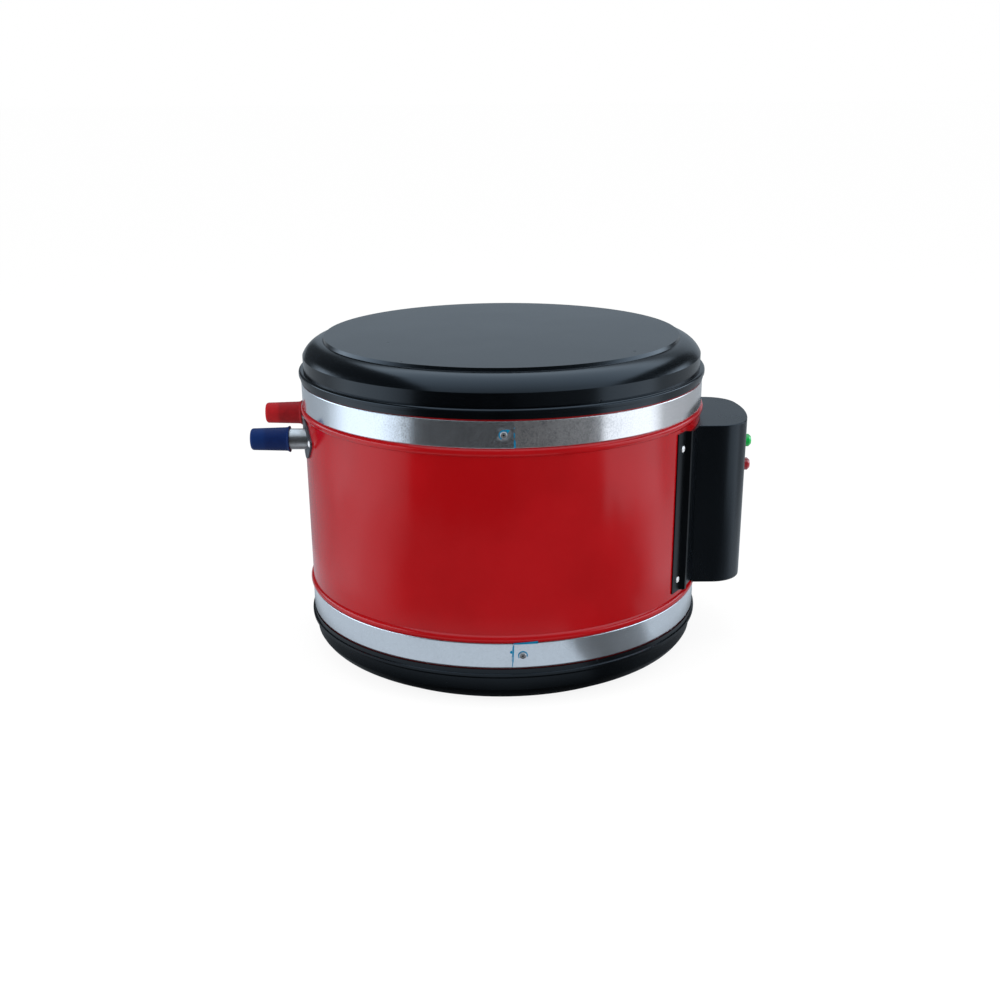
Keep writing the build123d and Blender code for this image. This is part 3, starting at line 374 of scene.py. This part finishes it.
def redPaint():
    paint = {
        "full": (0.345, 0.0012, 0.0035),
        "deep": (0.305, 0.0008, 0.0025),
        "groove": (0.20, 0.0006, 0.0016),  # painted shade where the sheet shows between a band and a cover
        # a deeper painted shade in that gap, on the left of the upper band and all along the lower band
        "grooveDeepShade": (0.04, 0.0006, 0.0010),
        "deepShadeSide": (-0.10, -0.06),
        "deepShadeHeight": (0.1, 0.2),
        "dust": (0.6, 0.35, 0.35),
        "dustShare": (0.74, 0.80),
        "dustTint": 0.05,
        "gloss": 0.12,
        "cloudGloss": 0.07,
        "dustGloss": 0.1,
        "shine": 1.40,
        "peel": 0.000012,  # metres, as are the next three
        "wave": 0.0008,
        "dimple": 0.00009,
        "fade": 0.0004,
    }
    material, finish = newFinish("red paint")
    place = finish.coordinates()
    cloud = finish.noise(place, scale=11.0, detail=3.0)
    peel = finish.noise(place, scale=420.0, detail=2.0)
    wave = finish.noise(finish.stretched(place, (1, 1, 0.5)), scale=9.0, detail=1.0)
    dimple = finish.noise(place, scale=34.0, detail=2.0)
    dust = finish.noise(place, scale=1900.0, detail=1.0).rise(*paint["dustShare"])
    height = peel * paint["peel"] + wave * paint["wave"] + dimple * paint["dimple"]
    across, level = finish.axes(place)[::2]
    bandTop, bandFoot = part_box("upper_band")[1].z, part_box("lower_band")[0].z
    # the sheet just over the upper band and under the lower band is painted in shade, deepest on the left and
    # along the lower band
    overBand = level.rise(bandTop - paint["fade"], bandTop)
    underBand = 1 - level.rise(bandFoot, bandFoot + paint["fade"])
    grooveLessShaded = across.rise(*paint["deepShadeSide"]) * level.rise(*paint["deepShadeHeight"])
    groove = finish.blend(grooveLessShaded, opaque(paint["grooveDeepShade"]), opaque(paint["groove"]))
    colour = finish.blend(cloud.rise(0.35, 0.65), opaque(paint["deep"]), opaque(paint["full"]))
    colour = finish.blend((overBand + underBand).limit(), colour, groove)
    finish.surface(
        {
            "Base Color": finish.blend(dust * paint["dustTint"], colour, opaque(paint["dust"])),
            "Roughness": paint["gloss"] + cloud * paint["cloudGloss"] + dust * paint["dustGloss"],
            "IOR": paint["shine"],
            "Normal": finish.bump(height, 1.0),
        }
    )
    return material


def blackMoulding():
    plastic = {
        "black": (0.0006, 0.0009, 0.0013),
        "worn": (0.0022, 0.0030, 0.0040),
        "wornShare": 0.6,
        "gloss": 0.16,
        "smudgeGloss": 0.07,
        "pitGloss": 0.35,
        "shine": 1.45,
        "grain": 0.000010,  # metres, as are the next two
        "flow": 0.00022,
        "pit": 0.00006,
        "pitCell": 55.0,  # one cell in eight holds a pit
    }
    material, finish = newFinish("black moulding")
    place = finish.coordinates()
    grain = finish.noise(place, scale=1500.0, detail=1.0)
    smudge = finish.noise(place, scale=16.0, detail=4.0, roughness=0.6)
    flow = finish.noise(place, scale=5.0, detail=1.0)
    cells = {"Vector": place, "Scale": plastic["pitCell"]}
    fromCentre = finish.node("ShaderNodeTexVoronoi", {}, cells)
    cellColour = finish.node("ShaderNodeTexVoronoi", {}, cells, 1)
    pit = (1 - fromCentre.rise(0.05, 0.11)) * finish.axes(cellColour)[0].rise(0.86, 0.88)
    worn = smudge.rise(0.5, 0.8) * plastic["wornShare"]
    height = grain * plastic["grain"] + flow * plastic["flow"] - pit * plastic["pit"]
    finish.surface(
        {
            "Base Color": finish.blend(worn, opaque(plastic["black"]), opaque(plastic["worn"])),
            "Roughness": plastic["gloss"] + smudge * plastic["smudgeGloss"] + pit * plastic["pitGloss"],
            "IOR": plastic["shine"],
            "Specular Tint": coolShine,
            "Normal": finish.bump(height, 1.0),
        }
    )
    return material


def satinBlack(name, clean, handled, gloss, streak, shine):
    satin = {"touchedGloss": 0.10, "rubGloss": 0.03, "grain": 0.000006, "rub": 0.000003}
    material, finish = newFinish(name)
    place = finish.coordinates()
    grain = finish.noise(place, scale=1300.0, detail=2.0)
    touched = finish.noise(finish.stretched(place, (1, 1, 0.35)), scale=26.0, detail=3.0, roughness=0.6)
    rub = finish.noise(finish.stretched(place, (1, 1, streak)), scale=300.0, detail=2.0)
    finish.surface(
        {
            "Base Color": finish.blend(touched.rise(0.4, 0.75), opaque(clean), opaque(handled)),
            "Roughness": gloss + touched * satin["touchedGloss"] + rub * satin["rubGloss"],
            "IOR": shine,
            "Specular Tint": coolShine,
            "Normal": finish.bump(grain * satin["grain"] + rub * satin["rub"], 1.0),
        }
    )
    return material


def bandSteel():
    steel = {
        "bright": (0.77, 0.81, 0.86),
        "warm": (0.86, 0.82, 0.81),  # past the upper lap
        "lap": (0.0103, 0.0112),
        "dull": (0.40, 0.40, 0.41),
        "dullFront": (0.075, 0.13),  # marks fade towards the sides
        "dullElsewhere": 0.2,
        "stainMark": 0.3,
        "speckleMark": 0.6,
        "streakMark": 0.12,
        "metallic": 0.95,
        "gloss": 0.09,
        "stainGloss": 0.08,
        "speckleGloss": 0.06,
        "streak": 0.0000025,  # metres, as are the next sizes
        "kink": 0.00022,
        "speckle": 0.000004,
        "dent": 0.00095,  # raised over the upper rivet
        "dentReach": 0.0088,
        "dentLeft": 0.0012,
        "dentUp": 0.0010,
        "rivetRadius": 0.0033,
        "edge": 0.00025,  # a sheared strip's rounded edges
        "edgeWidth": 0.0007,
        "edgeMargin": 0.0002,
    }
    rivetLow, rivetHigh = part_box("band_rivets")
    material, finish = newFinish("band steel")
    place = finish.coordinates()
    upright = finish.stretched(place, (1, 1, 0.03))
    streak = finish.noise(upright, scale=240.0, detail=3.0, roughness=0.65)
    kink = finish.noise(upright, scale=26.0, detail=2.0)
    speckle = finish.noise(place, scale=850.0, detail=2.0, roughness=0.7)
    stain = finish.noise(place, scale=45.0, detail=4.0, roughness=0.65)
    x, y, z = finish.axes(place)
    fromX = x - (rivetLow.x + steel["rivetRadius"] - steel["dentLeft"])
    fromZ = z - (rivetHigh.z - steel["rivetRadius"] + steel["dentUp"])
    reach = (fromX * fromX + fromZ * fromZ * 1.4).maths("SQRT")
    dent = (1 - reach.rise(0.0, steel["dentReach"])) * (1 - y.rise(-0.1, 0.0))
    edge = 0.0
    for band in ("upper_band", "lower_band"):
        foot, top = (corner.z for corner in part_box(band))
        within = z.rise(foot - steel["edgeMargin"], foot) * (1 - z.rise(top, top + steel["edgeMargin"]))
        sheared = z.rise(top - steel["edgeWidth"], top) + 1 - z.rise(foot, foot + steel["edgeWidth"])
        edge = sheared * within + edge
    upper = z.rise(0.15, 0.16)
    front = upper * (1 - abs(x).rise(*steel["dullFront"]))
    marks = stain.rise(0.45, 0.75) * steel["stainMark"] + speckle.rise(0.46, 0.64) * steel["speckleMark"]
    marks = marks + streak.rise(0.42, 0.7) * steel["streakMark"]
    marks = (marks * (steel["dullElsewhere"] + front * (1 - steel["dullElsewhere"]))).limit()
    sheen = finish.blend(x.rise(*steel["lap"]) * upper, opaque(steel["bright"]), opaque(steel["warm"]))
    height = (streak * steel["streak"] + speckle * steel["speckle"]) * (0.4 + upper * 0.6)
    height = height + kink * steel["kink"] + dent * steel["dent"] - edge * steel["edge"]
    finish.surface(
        {
            "Base Color": finish.blend(marks, sheen, opaque(steel["dull"])),
            "Metallic": steel["metallic"],
            "Roughness": steel["gloss"] + stain * steel["stainGloss"] + speckle * steel["speckleGloss"],
            "Normal": finish.bump(height, 1.0),
        }
    )
    return material


def nippleSteel():
    tube = {
        "bright": (0.50, 0.50, 0.50),
        "tarnished": (0.33, 0.32, 0.31),
        "metallic": 0.97,
        "gloss": 0.25,
        "tarnishGloss": 0.12,
        "turned": 0.00002,  # metres, as is the next
        "drawn": 0.00001,
    }
    material, finish = newFinish("nipple steel")
    place = finish.coordinates()
    turned = finish.noise(finish.stretched(place, (1, 0.04, 0.04)), scale=900.0, detail=3.0, roughness=0.6)
    drawn = finish.noise(finish.stretched(place, (0.05, 1, 1)), scale=500.0, detail=2.0)
    tarnish = finish.noise(place, scale=70.0, detail=4.0, roughness=0.6)
    dulled = tarnish.rise(0.35, 0.7)
    finish.surface(
        {
            "Base Color": finish.blend(dulled, opaque(tube["bright"]), opaque(tube["tarnished"])),
            "Metallic": tube["metallic"],
            "Roughness": tube["gloss"] + tarnish * tube["tarnishGloss"],
            "Normal": finish.bump(turned * tube["turned"] + drawn * tube["drawn"], 1.0),
        }
    )
    return material


def softPlastic(name, cap, deep, pale):  # deeper in colour where the nipple's end stands behind it
    soft = {
        "tipStart": 0.012,  # metres from the cap's closed end
        "tipEnd": 0.017,
        "tipShare": 0.75,
        "gloss": 0.40,
        "mottleGloss": 0.2,
        "shine": 1.25,
        "mottle": 0.00006,
        "wrinkle": 0.00010,
    }
    material, finish = newFinish(name)
    place = finish.coordinates()
    mottle = finish.noise(place, scale=150.0, detail=4.0, roughness=0.55)
    wrinkle = finish.noise(finish.stretched(place, (0.35, 1, 1)), scale=190.0, detail=3.0)
    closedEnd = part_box(cap)[0].x
    tip = 1 - finish.axes(place)[0].rise(closedEnd + soft["tipStart"], closedEnd + soft["tipEnd"])
    shade = tip * soft["tipShare"] + mottle.rise(0.35, 0.68) * (1 - soft["tipShare"])
    finish.surface(
        {
            "Base Color": finish.blend(shade, opaque(deep), opaque(pale)),
            "Roughness": soft["gloss"] + mottle * soft["mottleGloss"],
            "IOR": soft["shine"],
            "Normal": finish.bump(mottle * soft["mottle"] + wrinkle * soft["wrinkle"], 1.0),
        }
    )
    return material


def lampPlastic(name, deep, clear):
    lens = {
        "gloss": 0.16,
        "castGloss": 0.08,
        "coat": 0.4,
        "coatGloss": 0.08,
        "glow": 0.15,
        "glowReach": 0.002,
        "cast": 0.00002,
    }
    material, finish = newFinish(name)
    place = finish.coordinates()
    tone = finish.noise(place, scale=260.0, detail=2.0)
    cast = finish.noise(place, scale=1200.0, detail=2.0)
    finish.surface(
        {
            "Base Color": finish.blend(tone.rise(0.35, 0.65), opaque(deep), opaque(clear)),
            "Roughness": lens["gloss"] + cast * lens["castGloss"],
            "Coat Weight": lens["coat"],
            "Coat Roughness": lens["coatGloss"],
            "Subsurface Weight": lens["glow"],
            "Subsurface Radius": (lens["glowReach"], lens["glowReach"], lens["glowReach"]),
            "Normal": finish.bump(cast * lens["cast"], 1.0),
        }
    )
    return material


def bandRivetMetal():  # a pulled rivet: painted shade in the hole where its pin broke off, and a ring of painted shade in the crease round that
    rivet = {
        "bright": (0.50, 0.50, 0.51),
        "dull": (0.34, 0.35, 0.36),
        # painted shade colours for the crease and for the pin's hole
        "creaseAndShade": (0.05, 0.055, 0.06),
        "pinHoleShade": (0.004, 0.004, 0.005),
        "metallic": 0.8,
        "creaseShare": 0.85,
        "gloss": 0.38,
        "pinGloss": 0.5,
        "radius": 0.00325,  # metres, as are the next sizes
        "pinEdge": (0.0009, 0.0012),
        "creaseInside": (0.0014, 0.0018),
        "creaseOutside": (0.0020, 0.0024),
        "creaseDepth": 0.00015,
        "grain": 0.00002,
    }
    rivetLow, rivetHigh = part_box("band_rivets")
    material, finish = newFinish("band rivet aluminium")
    place = finish.coordinates()
    x, y, z = finish.axes(place)
    upper = z.rise(0.16, 0.17)
    upperX, upperZ = rivetLow.x + rivet["radius"], rivetHigh.z - rivet["radius"]
    lowerX, lowerZ = rivetHigh.x - rivet["radius"], rivetLow.z + rivet["radius"]
    fromX = x - (upper * upperX + (1 - upper) * lowerX)
    fromZ = z - (upper * upperZ + (1 - upper) * lowerZ)
    reach = (fromX * fromX + fromZ * fromZ).maths("SQRT")
    # painted shade: near black in the pin's hole, and a dark ring in the dented crease round it
    pinHoleShade = 1 - reach.rise(*rivet["pinEdge"])
    creaseAndShade = reach.rise(*rivet["creaseInside"]) * (1 - reach.rise(*rivet["creaseOutside"]))
    tone = finish.noise(place, scale=900.0, detail=2.0)
    metal = finish.blend(tone.rise(0.35, 0.7), opaque(rivet["bright"]), opaque(rivet["dull"]))
    metal = finish.blend(creaseAndShade * rivet["creaseShare"], metal, opaque(rivet["creaseAndShade"]))
    finish.surface(
        {
            "Base Color": finish.blend(pinHoleShade, metal, opaque(rivet["pinHoleShade"])),
            "Metallic": rivet["metallic"] - pinHoleShade * rivet["metallic"],
            "Roughness": rivet["gloss"] + pinHoleShade * rivet["pinGloss"],
            "Normal": finish.bump(tone * rivet["grain"] - creaseAndShade * rivet["creaseDepth"], 1.0),
        }
    )
    return material


def plainMetal(name, bright, dull, gloss, grain, metallic=1.0):
    metal = {"tarnishGloss": 0.16, "grainDepth": 0.00003}
    material, finish = newFinish(name)
    place = finish.coordinates()
    tarnish = finish.noise(place, scale=60.0, detail=4.0, roughness=0.6)
    texture = finish.noise(place, scale=grain, detail=3.0, roughness=0.6)
    finish.surface(
        {
            "Base Color": finish.blend(tarnish.rise(0.35, 0.7), opaque(bright), opaque(dull)),
            "Metallic": metallic,
            "Roughness": gloss + tarnish * metal["tarnishGloss"],
            "Normal": finish.bump(texture * metal["grainDepth"], 1.0),
        }
    )
    return material


def plainPlastic(name, light, dark, gloss, grain, depth, grainGloss=0.12):
    material, finish = newFinish(name)
    place = finish.coordinates()
    tone = finish.noise(place, scale=40.0, detail=4.0)
    texture = finish.noise(place, scale=grain, detail=3.0)
    finish.surface(
        {
            "Base Color": finish.blend(tone.rise(0.3, 0.7), opaque(light), opaque(dark)),
            "Roughness": gloss + texture * grainGloss,
            "Normal": finish.bump(texture * depth, 1.0),
        }
    )
    return material


satins = {
    "box black": {
        "clean": (0.0006, 0.0010, 0.0016),
        "handled": (0.0016, 0.0024, 0.0036),
        "gloss": 0.20,
        "streak": 0.05,
        "shine": 1.42,
    },
    "rail black": {
        "clean": (0.0006, 0.0007, 0.0010),
        "handled": (0.0016, 0.0018, 0.0022),
        "gloss": 0.24,
        "streak": 0.02,
        "shine": 1.27,
    },
}
softs = {
    "cold cap plastic": {"cap": "cold_cap", "deep": (0.0004, 0.0105, 0.072), "pale": (0.0012, 0.0190, 0.105)},
    "hot cap plastic": {"cap": "hot_cap", "deep": (0.21, 0.0050, 0.0085), "pale": (0.38, 0.0085, 0.0130)},
}
lenses = {
    "green lens": {"deep": (0.0004, 0.34, 0.045), "clear": (0.001, 0.46, 0.075)},
    "red lens": {"deep": (0.22, 0.008, 0.013), "clear": (0.32, 0.012, 0.019)},
}
metals = {  # grain is how fine the surface is, in waves to the metre
    "plate steel": {
        "bright": (0.17, 0.18, 0.20),
        "dull": (0.09, 0.10, 0.11),
        "gloss": 0.36,
        "grain": 500.0,
    },
    "rivet aluminium": {
        "bright": (0.92, 0.92, 0.93),
        "dull": (0.84, 0.84, 0.85),
        "gloss": 0.42,
        "grain": 900.0,
        "metallic": 0.55,
    },
    "zinc steel": {
        "bright": (0.66, 0.63, 0.53),
        "dull": (0.50, 0.49, 0.46),
        "gloss": 0.25,
        "grain": 700.0,
    },
    "copper sheath": {
        "bright": (0.78, 0.40, 0.24),
        "dull": (0.55, 0.26, 0.16),
        "gloss": 0.28,
        "grain": 400.0,
    },
    "brass": {
        "bright": (0.74, 0.55, 0.25),
        "dull": (0.58, 0.42, 0.20),
        "gloss": 0.25,
        "grain": 700.0,
    },
    "cast anode": {
        "bright": (0.62, 0.62, 0.62),
        "dull": (0.42, 0.42, 0.42),
        "gloss": 0.45,
        "grain": 300.0,
    },
}
plastics = {  # depth is the grain's, in metres
    "tank enamel": {
        "light": (0.030, 0.055, 0.11),
        "dark": (0.020, 0.035, 0.075),
        "gloss": 0.12,
        "grain": 500.0,
        "depth": 0.00002,
    },
    "foam": {
        "light": (0.86, 0.79, 0.55),
        "dark": (0.72, 0.62, 0.38),
        "gloss": 0.85,
        "grain": 260.0,
        "depth": 0.0006,
    },
    "gasket rubber": {
        "light": (0.025, 0.025, 0.025),
        "dark": (0.015, 0.015, 0.015),
        "gloss": 0.65,
        "grain": 700.0,
        "depth": 0.00003,
    },
    "white plastic": {
        "light": (0.80, 0.80, 0.76),
        "dark": (0.74, 0.74, 0.69),
        "gloss": 0.35,
        "grain": 900.0,
        "depth": 0.00001,
    },
    "grey plastic": {
        "light": (0.20, 0.20, 0.20),
        "dark": (0.15, 0.15, 0.15),
        "gloss": 0.50,
        "grain": 900.0,
        "depth": 0.00002,
    },
    "button red": {
        "light": (0.55, 0.02, 0.02),
        "dark": (0.45, 0.015, 0.015),
        "gloss": 0.22,
        "grain": 900.0,
        "depth": 0.00001,
    },
    "dip tube plastic": {
        "light": (0.76, 0.75, 0.71),
        "dark": (0.68, 0.67, 0.61),
        "gloss": 0.45,
        "grain": 600.0,
        "depth": 0.00002,
    },
}

made = {
    "red paint": redPaint(),
    "black moulding": blackMoulding(),
    "band steel": bandSteel(),
    "nipple steel": nippleSteel(),
    "band rivet aluminium": bandRivetMetal(),
}
families = (
    (satinBlack, satins),
    (softPlastic, softs),
    (lampPlastic, lenses),
    (plainMetal, metals),
    (plainPlastic, plastics),
)
for maker, looks in families:
    for name, look in looks.items():
        made[name] = maker(name, **look)

finishes = {
    "red paint": ["outer_shell"],
    "black moulding": ["top_cover", "bottom_cover"],
    "band steel": ["upper_band", "lower_band"],
    "band rivet aluminium": ["band_rivets"],
    "rivet aluminium": ["plate_rivets", "rail_rivets"],
    "box black": ["control_cover"],
    "rail black": ["control_rail_front", "control_rail_back"],
    "plate steel": ["cold_nipple_plate", "hot_nipple_plate"],
    "nipple steel": ["cold_nipple", "hot_nipple"],
    "cold cap plastic": ["cold_cap"],
    "hot cap plastic": ["hot_cap"],
    "green lens": ["green_lamp_lens"],
    "red lens": ["red_lamp_lens"],
    "foam": ["insulation"],
    "tank enamel": ["tank_barrel", "tank_top_head", "tank_bottom_head", "element_boss"],
    "gasket rubber": ["flange_gasket"],
    "zinc steel": ["element_flange", "flange_bolts", "anode_nut", "lamp_nuts"],
    "copper sheath": ["heating_element", "hot_draw_tube"],
    "brass": ["element_terminals", "thermostat_pocket", "terminal_screws", "earth_stud"],
    "cast anode": ["anode_rod"],
    "white plastic": ["thermostat_body", "terminal_block"],
    "grey plastic": ["thermostat_dial", "green_lamp_body", "red_lamp_body", "cable_gland", "gland_nut"],
    "button red": ["reset_button"],
    "dip tube plastic": ["cold_dip_tube"],
}
for finishName, pieces in finishes.items():
    for piece in pieces:
        nodes[piece].data.materials.clear()
        nodes[piece].data.materials.append(made[finishName])
print("Finishes given to", sum(len(pieces) for pieces in finishes.values()), "pieces")

# Torn film left at the bands' laps and round their rivets

film = {
    "thick": 0.00008,
    "lift": 0.00003,
    "blue": (0.0003, 0.135, 0.27),
    "pale": (0.0004, 0.21, 0.39),
    "gloss": 0.50,
    "shine": 1.15,
    "wear": 0.00005,
    "front": -0.215,  # where a scrap is cut before it is laid back on the band
    "rivetRadius": 0.0033,
}


def filmBlue():
    material, finish = newFinish("film blue")
    worn = finish.noise(finish.coordinates(), scale=700.0, detail=3.0)
    finish.surface(
        {
            "Base Color": finish.blend(worn.rise(0.4, 0.7), opaque(film["blue"]), opaque(film["pale"])),
            "Roughness": film["gloss"] + worn * 0.2,
            "IOR": film["shine"],
            "Normal": finish.bump(worn * film["wear"], 1.0),
        }
    )
    return material


filmFinish = filmBlue()


def startScrap(name):  # takes up the primitive just added
    scrap = bpy.context.object
    scrap.name = name
    bpy.ops.object.mode_set(mode="EDIT")
    bpy.ops.mesh.select_all(action="SELECT")
    return scrap


def pickPoints(piece, wanted):  # selects, in edit mode, the points whose place is wanted
    bpy.ops.mesh.select_all(action="DESELECT")
    bpy.ops.object.mode_set(mode="OBJECT")
    for point in piece.data.vertices:
        point.select = bool(wanted(piece.matrix_world @ point.co))
    bpy.ops.object.mode_set(mode="EDIT")


def tearEdges(ragged, seed):  # in edit mode, on all the points
    bpy.ops.mesh.select_all(action="SELECT")
    bpy.ops.transform.vertex_random(offset=ragged, uniform=1.0, normal=0.0, seed=seed)


def giveBody(scrap):  # the film's own thickness
    body = scrap.modifiers.new("body", "SOLIDIFY")
    body.thickness = film["thick"]
    body.offset = 0
    bpy.ops.object.modifier_apply(modifier="body")
    scrap.data.materials.append(filmFinish)
    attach(scrap, "heater")


def layOnBand(scrap, band):
    bpy.ops.object.mode_set(mode="OBJECT")
    bpy.ops.object.transform_apply(location=True, rotation=True, scale=True)
    laid = scrap.modifiers.new("laid", "SHRINKWRAP")
    laid.target = nodes[band]
    laid.wrap_method = "PROJECT"
    laid.use_project_y = True
    laid.use_positive_direction = True
    laid.use_negative_direction = False
    laid.offset = film["lift"]
    bpy.ops.object.modifier_apply(modifier="laid")
    giveBody(scrap)


def filmStrip(name, band, x, z, wide, tall, ends, lean, ragged, seed):
    middle = (x, film["front"], z)
    bpy.ops.object.select_all(action="DESELECT")
    bpy.ops.mesh.primitive_grid_add(
        x_subdivisions=3, y_subdivisions=26, size=1, location=middle, rotation=(pi / 2, 0, 0)
    )
    scrap = startScrap(name)
    bpy.ops.transform.resize(value=(wide, 1, tall), center_override=middle)
    for share, at in zip(ends, (z - tall / 2, z + tall / 2)):  # each end narrows to a share of the width
        pickPoints(scrap, lambda place: abs(place.z - at) < tall * 0.22)
        bpy.ops.transform.resize(value=(share, 1, 1), center_override=(x, film["front"], at))
    tearEdges(ragged, seed)
    bpy.ops.transform.rotate(value=lean, orient_axis="Y", center_override=middle)
    layOnBand(scrap, band)


def filmCrescent(name, band, x, z, radius, wide, shift, arc, ragged, seed):
    middle = (x, film["front"], z)
    bpy.ops.object.select_all(action="DESELECT")
    bpy.ops.mesh.primitive_circle_add(vertices=56, radius=radius, location=middle, rotation=(pi / 2, 0, 0))
    scrap = startScrap(name)
    bpy.ops.mesh.extrude_region_move(TRANSFORM_OT_translate={"value": (0, 0, 0)})
    inside = 1 - wide / radius
    bpy.ops.transform.resize(value=(inside, 1, inside), center_override=middle)
    bpy.ops.transform.translate(value=(shift[0], 0, shift[1]))

    def offArc(place):
        turn = degrees(atan2(place.z - z, place.x - x)) - arc[0]
        return turn % 360 > arc[1] - arc[0]

    pickPoints(scrap, offArc)
    bpy.ops.mesh.delete(type="VERT")
    tearEdges(ragged, seed)
    layOnBand(scrap, band)


def filmPatch(name, band, x, z, corners, reach, turn, ragged, seed):
    middle = (x, film["front"], z)
    bpy.ops.object.select_all(action="DESELECT")
    bpy.ops.mesh.primitive_circle_add(
        vertices=corners, radius=reach, fill_type="TRIFAN", location=middle, rotation=(pi / 2, turn, 0)
    )
    scrap = startScrap(name)
    bpy.ops.mesh.subdivide(number_cuts=2)
    tearEdges(ragged, seed)
    layOnBand(scrap, band)


rivetsLow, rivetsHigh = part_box("band_rivets")
upperX, upperZ = rivetsLow.x + film["rivetRadius"], rivetsHigh.z - film["rivetRadius"]
lowerX, lowerZ = rivetsHigh.x - film["rivetRadius"], rivetsLow.z + film["rivetRadius"]
scraps = {
    "film_lap_upper": (
        filmStrip,
        "upper_band",
        {"x": 0.0112, "z": upperZ - 0.0082},
        {"wide": 0.0017, "tall": 0.0078, "ends": (1.0, 0.45), "lean": 0.03},
        {"ragged": 0.00016, "seed": 3},
    ),
    "film_lap_upper_tip": (
        filmStrip,
        "upper_band",
        {"x": 0.0109, "z": upperZ - 0.0006},
        {"wide": 0.0012, "tall": 0.0052, "ends": (0.3, 0.8), "lean": 0.0},
        {"ragged": 0.00022, "seed": 5},
    ),
    "film_speck_upper": (
        filmPatch,
        "upper_band",
        {"x": 0.0110, "z": upperZ + 0.0062},
        {"corners": 6, "reach": 0.00055, "turn": 0.3},
        {"ragged": 0.0001, "seed": 2},
    ),
    "film_rivet_upper": (
        filmCrescent,
        "upper_band",
        {"x": upperX, "z": upperZ},
        {"radius": 0.0046, "wide": 0.0012, "shift": (0.0004, -0.0001), "arc": (62, 248)},
        {"ragged": 0.00012, "seed": 4},
    ),
    "film_corner_upper": (
        filmPatch,
        "upper_band",
        {"x": upperX + 0.0035, "z": upperZ + 0.0037},
        {"corners": 3, "reach": 0.0024, "turn": pi + 0.12},
        {"ragged": 0.0002, "seed": 7},
    ),
    "film_lap_lower": (
        filmStrip,
        "lower_band",
        {"x": 0.0088, "z": lowerZ - 0.0002},
        {"wide": 0.0018, "tall": 0.0222, "ends": (0.45, 1.0), "lean": -0.035},
        {"ragged": 0.00016, "seed": 9},
    ),
    "film_blob_lower": (
        filmPatch,
        "lower_band",
        {"x": 0.0074, "z": lowerZ + 0.0036},
        {"corners": 9, "reach": 0.0015, "turn": 0.0},
        {"ragged": 0.0002, "seed": 6},
    ),
    "film_rivet_lower": (
        filmCrescent,
        "lower_band",
        {"x": lowerX, "z": lowerZ},
        {"radius": 0.0047, "wide": 0.0010, "shift": (0.0, -0.0002), "arc": (-28, 215)},
        {"ragged": 0.00010, "seed": 8},
    ),
}
for name, (cutScrap, band, middle, cut, torn) in scraps.items():
    cutScrap(name, band, **middle, **cut, **torn)

# The same film sticks up behind the lower band's top edge, from its lap on

edgeFilm = {
    "start": radians(272.6),
    "sweep": radians(6.5),
    "steps": 20,
    "radius": 0.20575,
    "low": 0.0017,  # height at its start
    "high": 0.0031,  # and at its free end
    "lean": 0.4,  # outwards, as a share of the height
    "hidden": 0.0007,  # below the band's top edge
}
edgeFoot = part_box("lower_band")[1].z - edgeFilm["hidden"]
reach = edgeFilm["radius"] - edgeFilm["low"] / 2
bpy.ops.object.select_all(action="DESELECT")
bpy.ops.mesh.primitive_plane_add(
    size=edgeFilm["low"],
    location=(reach * cos(edgeFilm["start"]), reach * sin(edgeFilm["start"]), edgeFoot + edgeFilm["low"] / 2),
    rotation=(pi / 2, 0, edgeFilm["start"]),
)
bpy.ops.object.transform_apply(location=True, rotation=True, scale=True)
edgeScrap = startScrap("film_edge_lower")
pickPoints(edgeScrap, lambda place: hypot(place.x, place.y) < reach)
bpy.ops.mesh.delete(type="VERT")  # leaves the upright edge that is swept round
bpy.ops.mesh.select_all(action="SELECT")
bpy.ops.mesh.spin(steps=edgeFilm["steps"], angle=-edgeFilm["sweep"], center=(0, 0, 0), axis=(0, 0, 1))
for step in range(edgeFilm["steps"] + 1):
    turn = edgeFilm["start"] + edgeFilm["sweep"] * step / edgeFilm["steps"]
    tall = edgeFilm["low"] + (edgeFilm["high"] - edgeFilm["low"]) * step / edgeFilm["steps"]
    outward = tall * edgeFilm["lean"]
    halfStep = edgeFilm["sweep"] / edgeFilm["steps"] / 2
    pickPoints(
        edgeScrap,
        lambda place: place.z > edgeFoot + edgeFilm["low"] / 2
        and abs(atan2(place.y, place.x) % (2 * pi) - turn) < halfStep,
    )
    bpy.ops.transform.translate(value=(outward * cos(turn), outward * sin(turn), tall - edgeFilm["low"]))
bpy.ops.object.mode_set(mode="OBJECT")
giveBody(edgeScrap)
print("Film scraps laid")
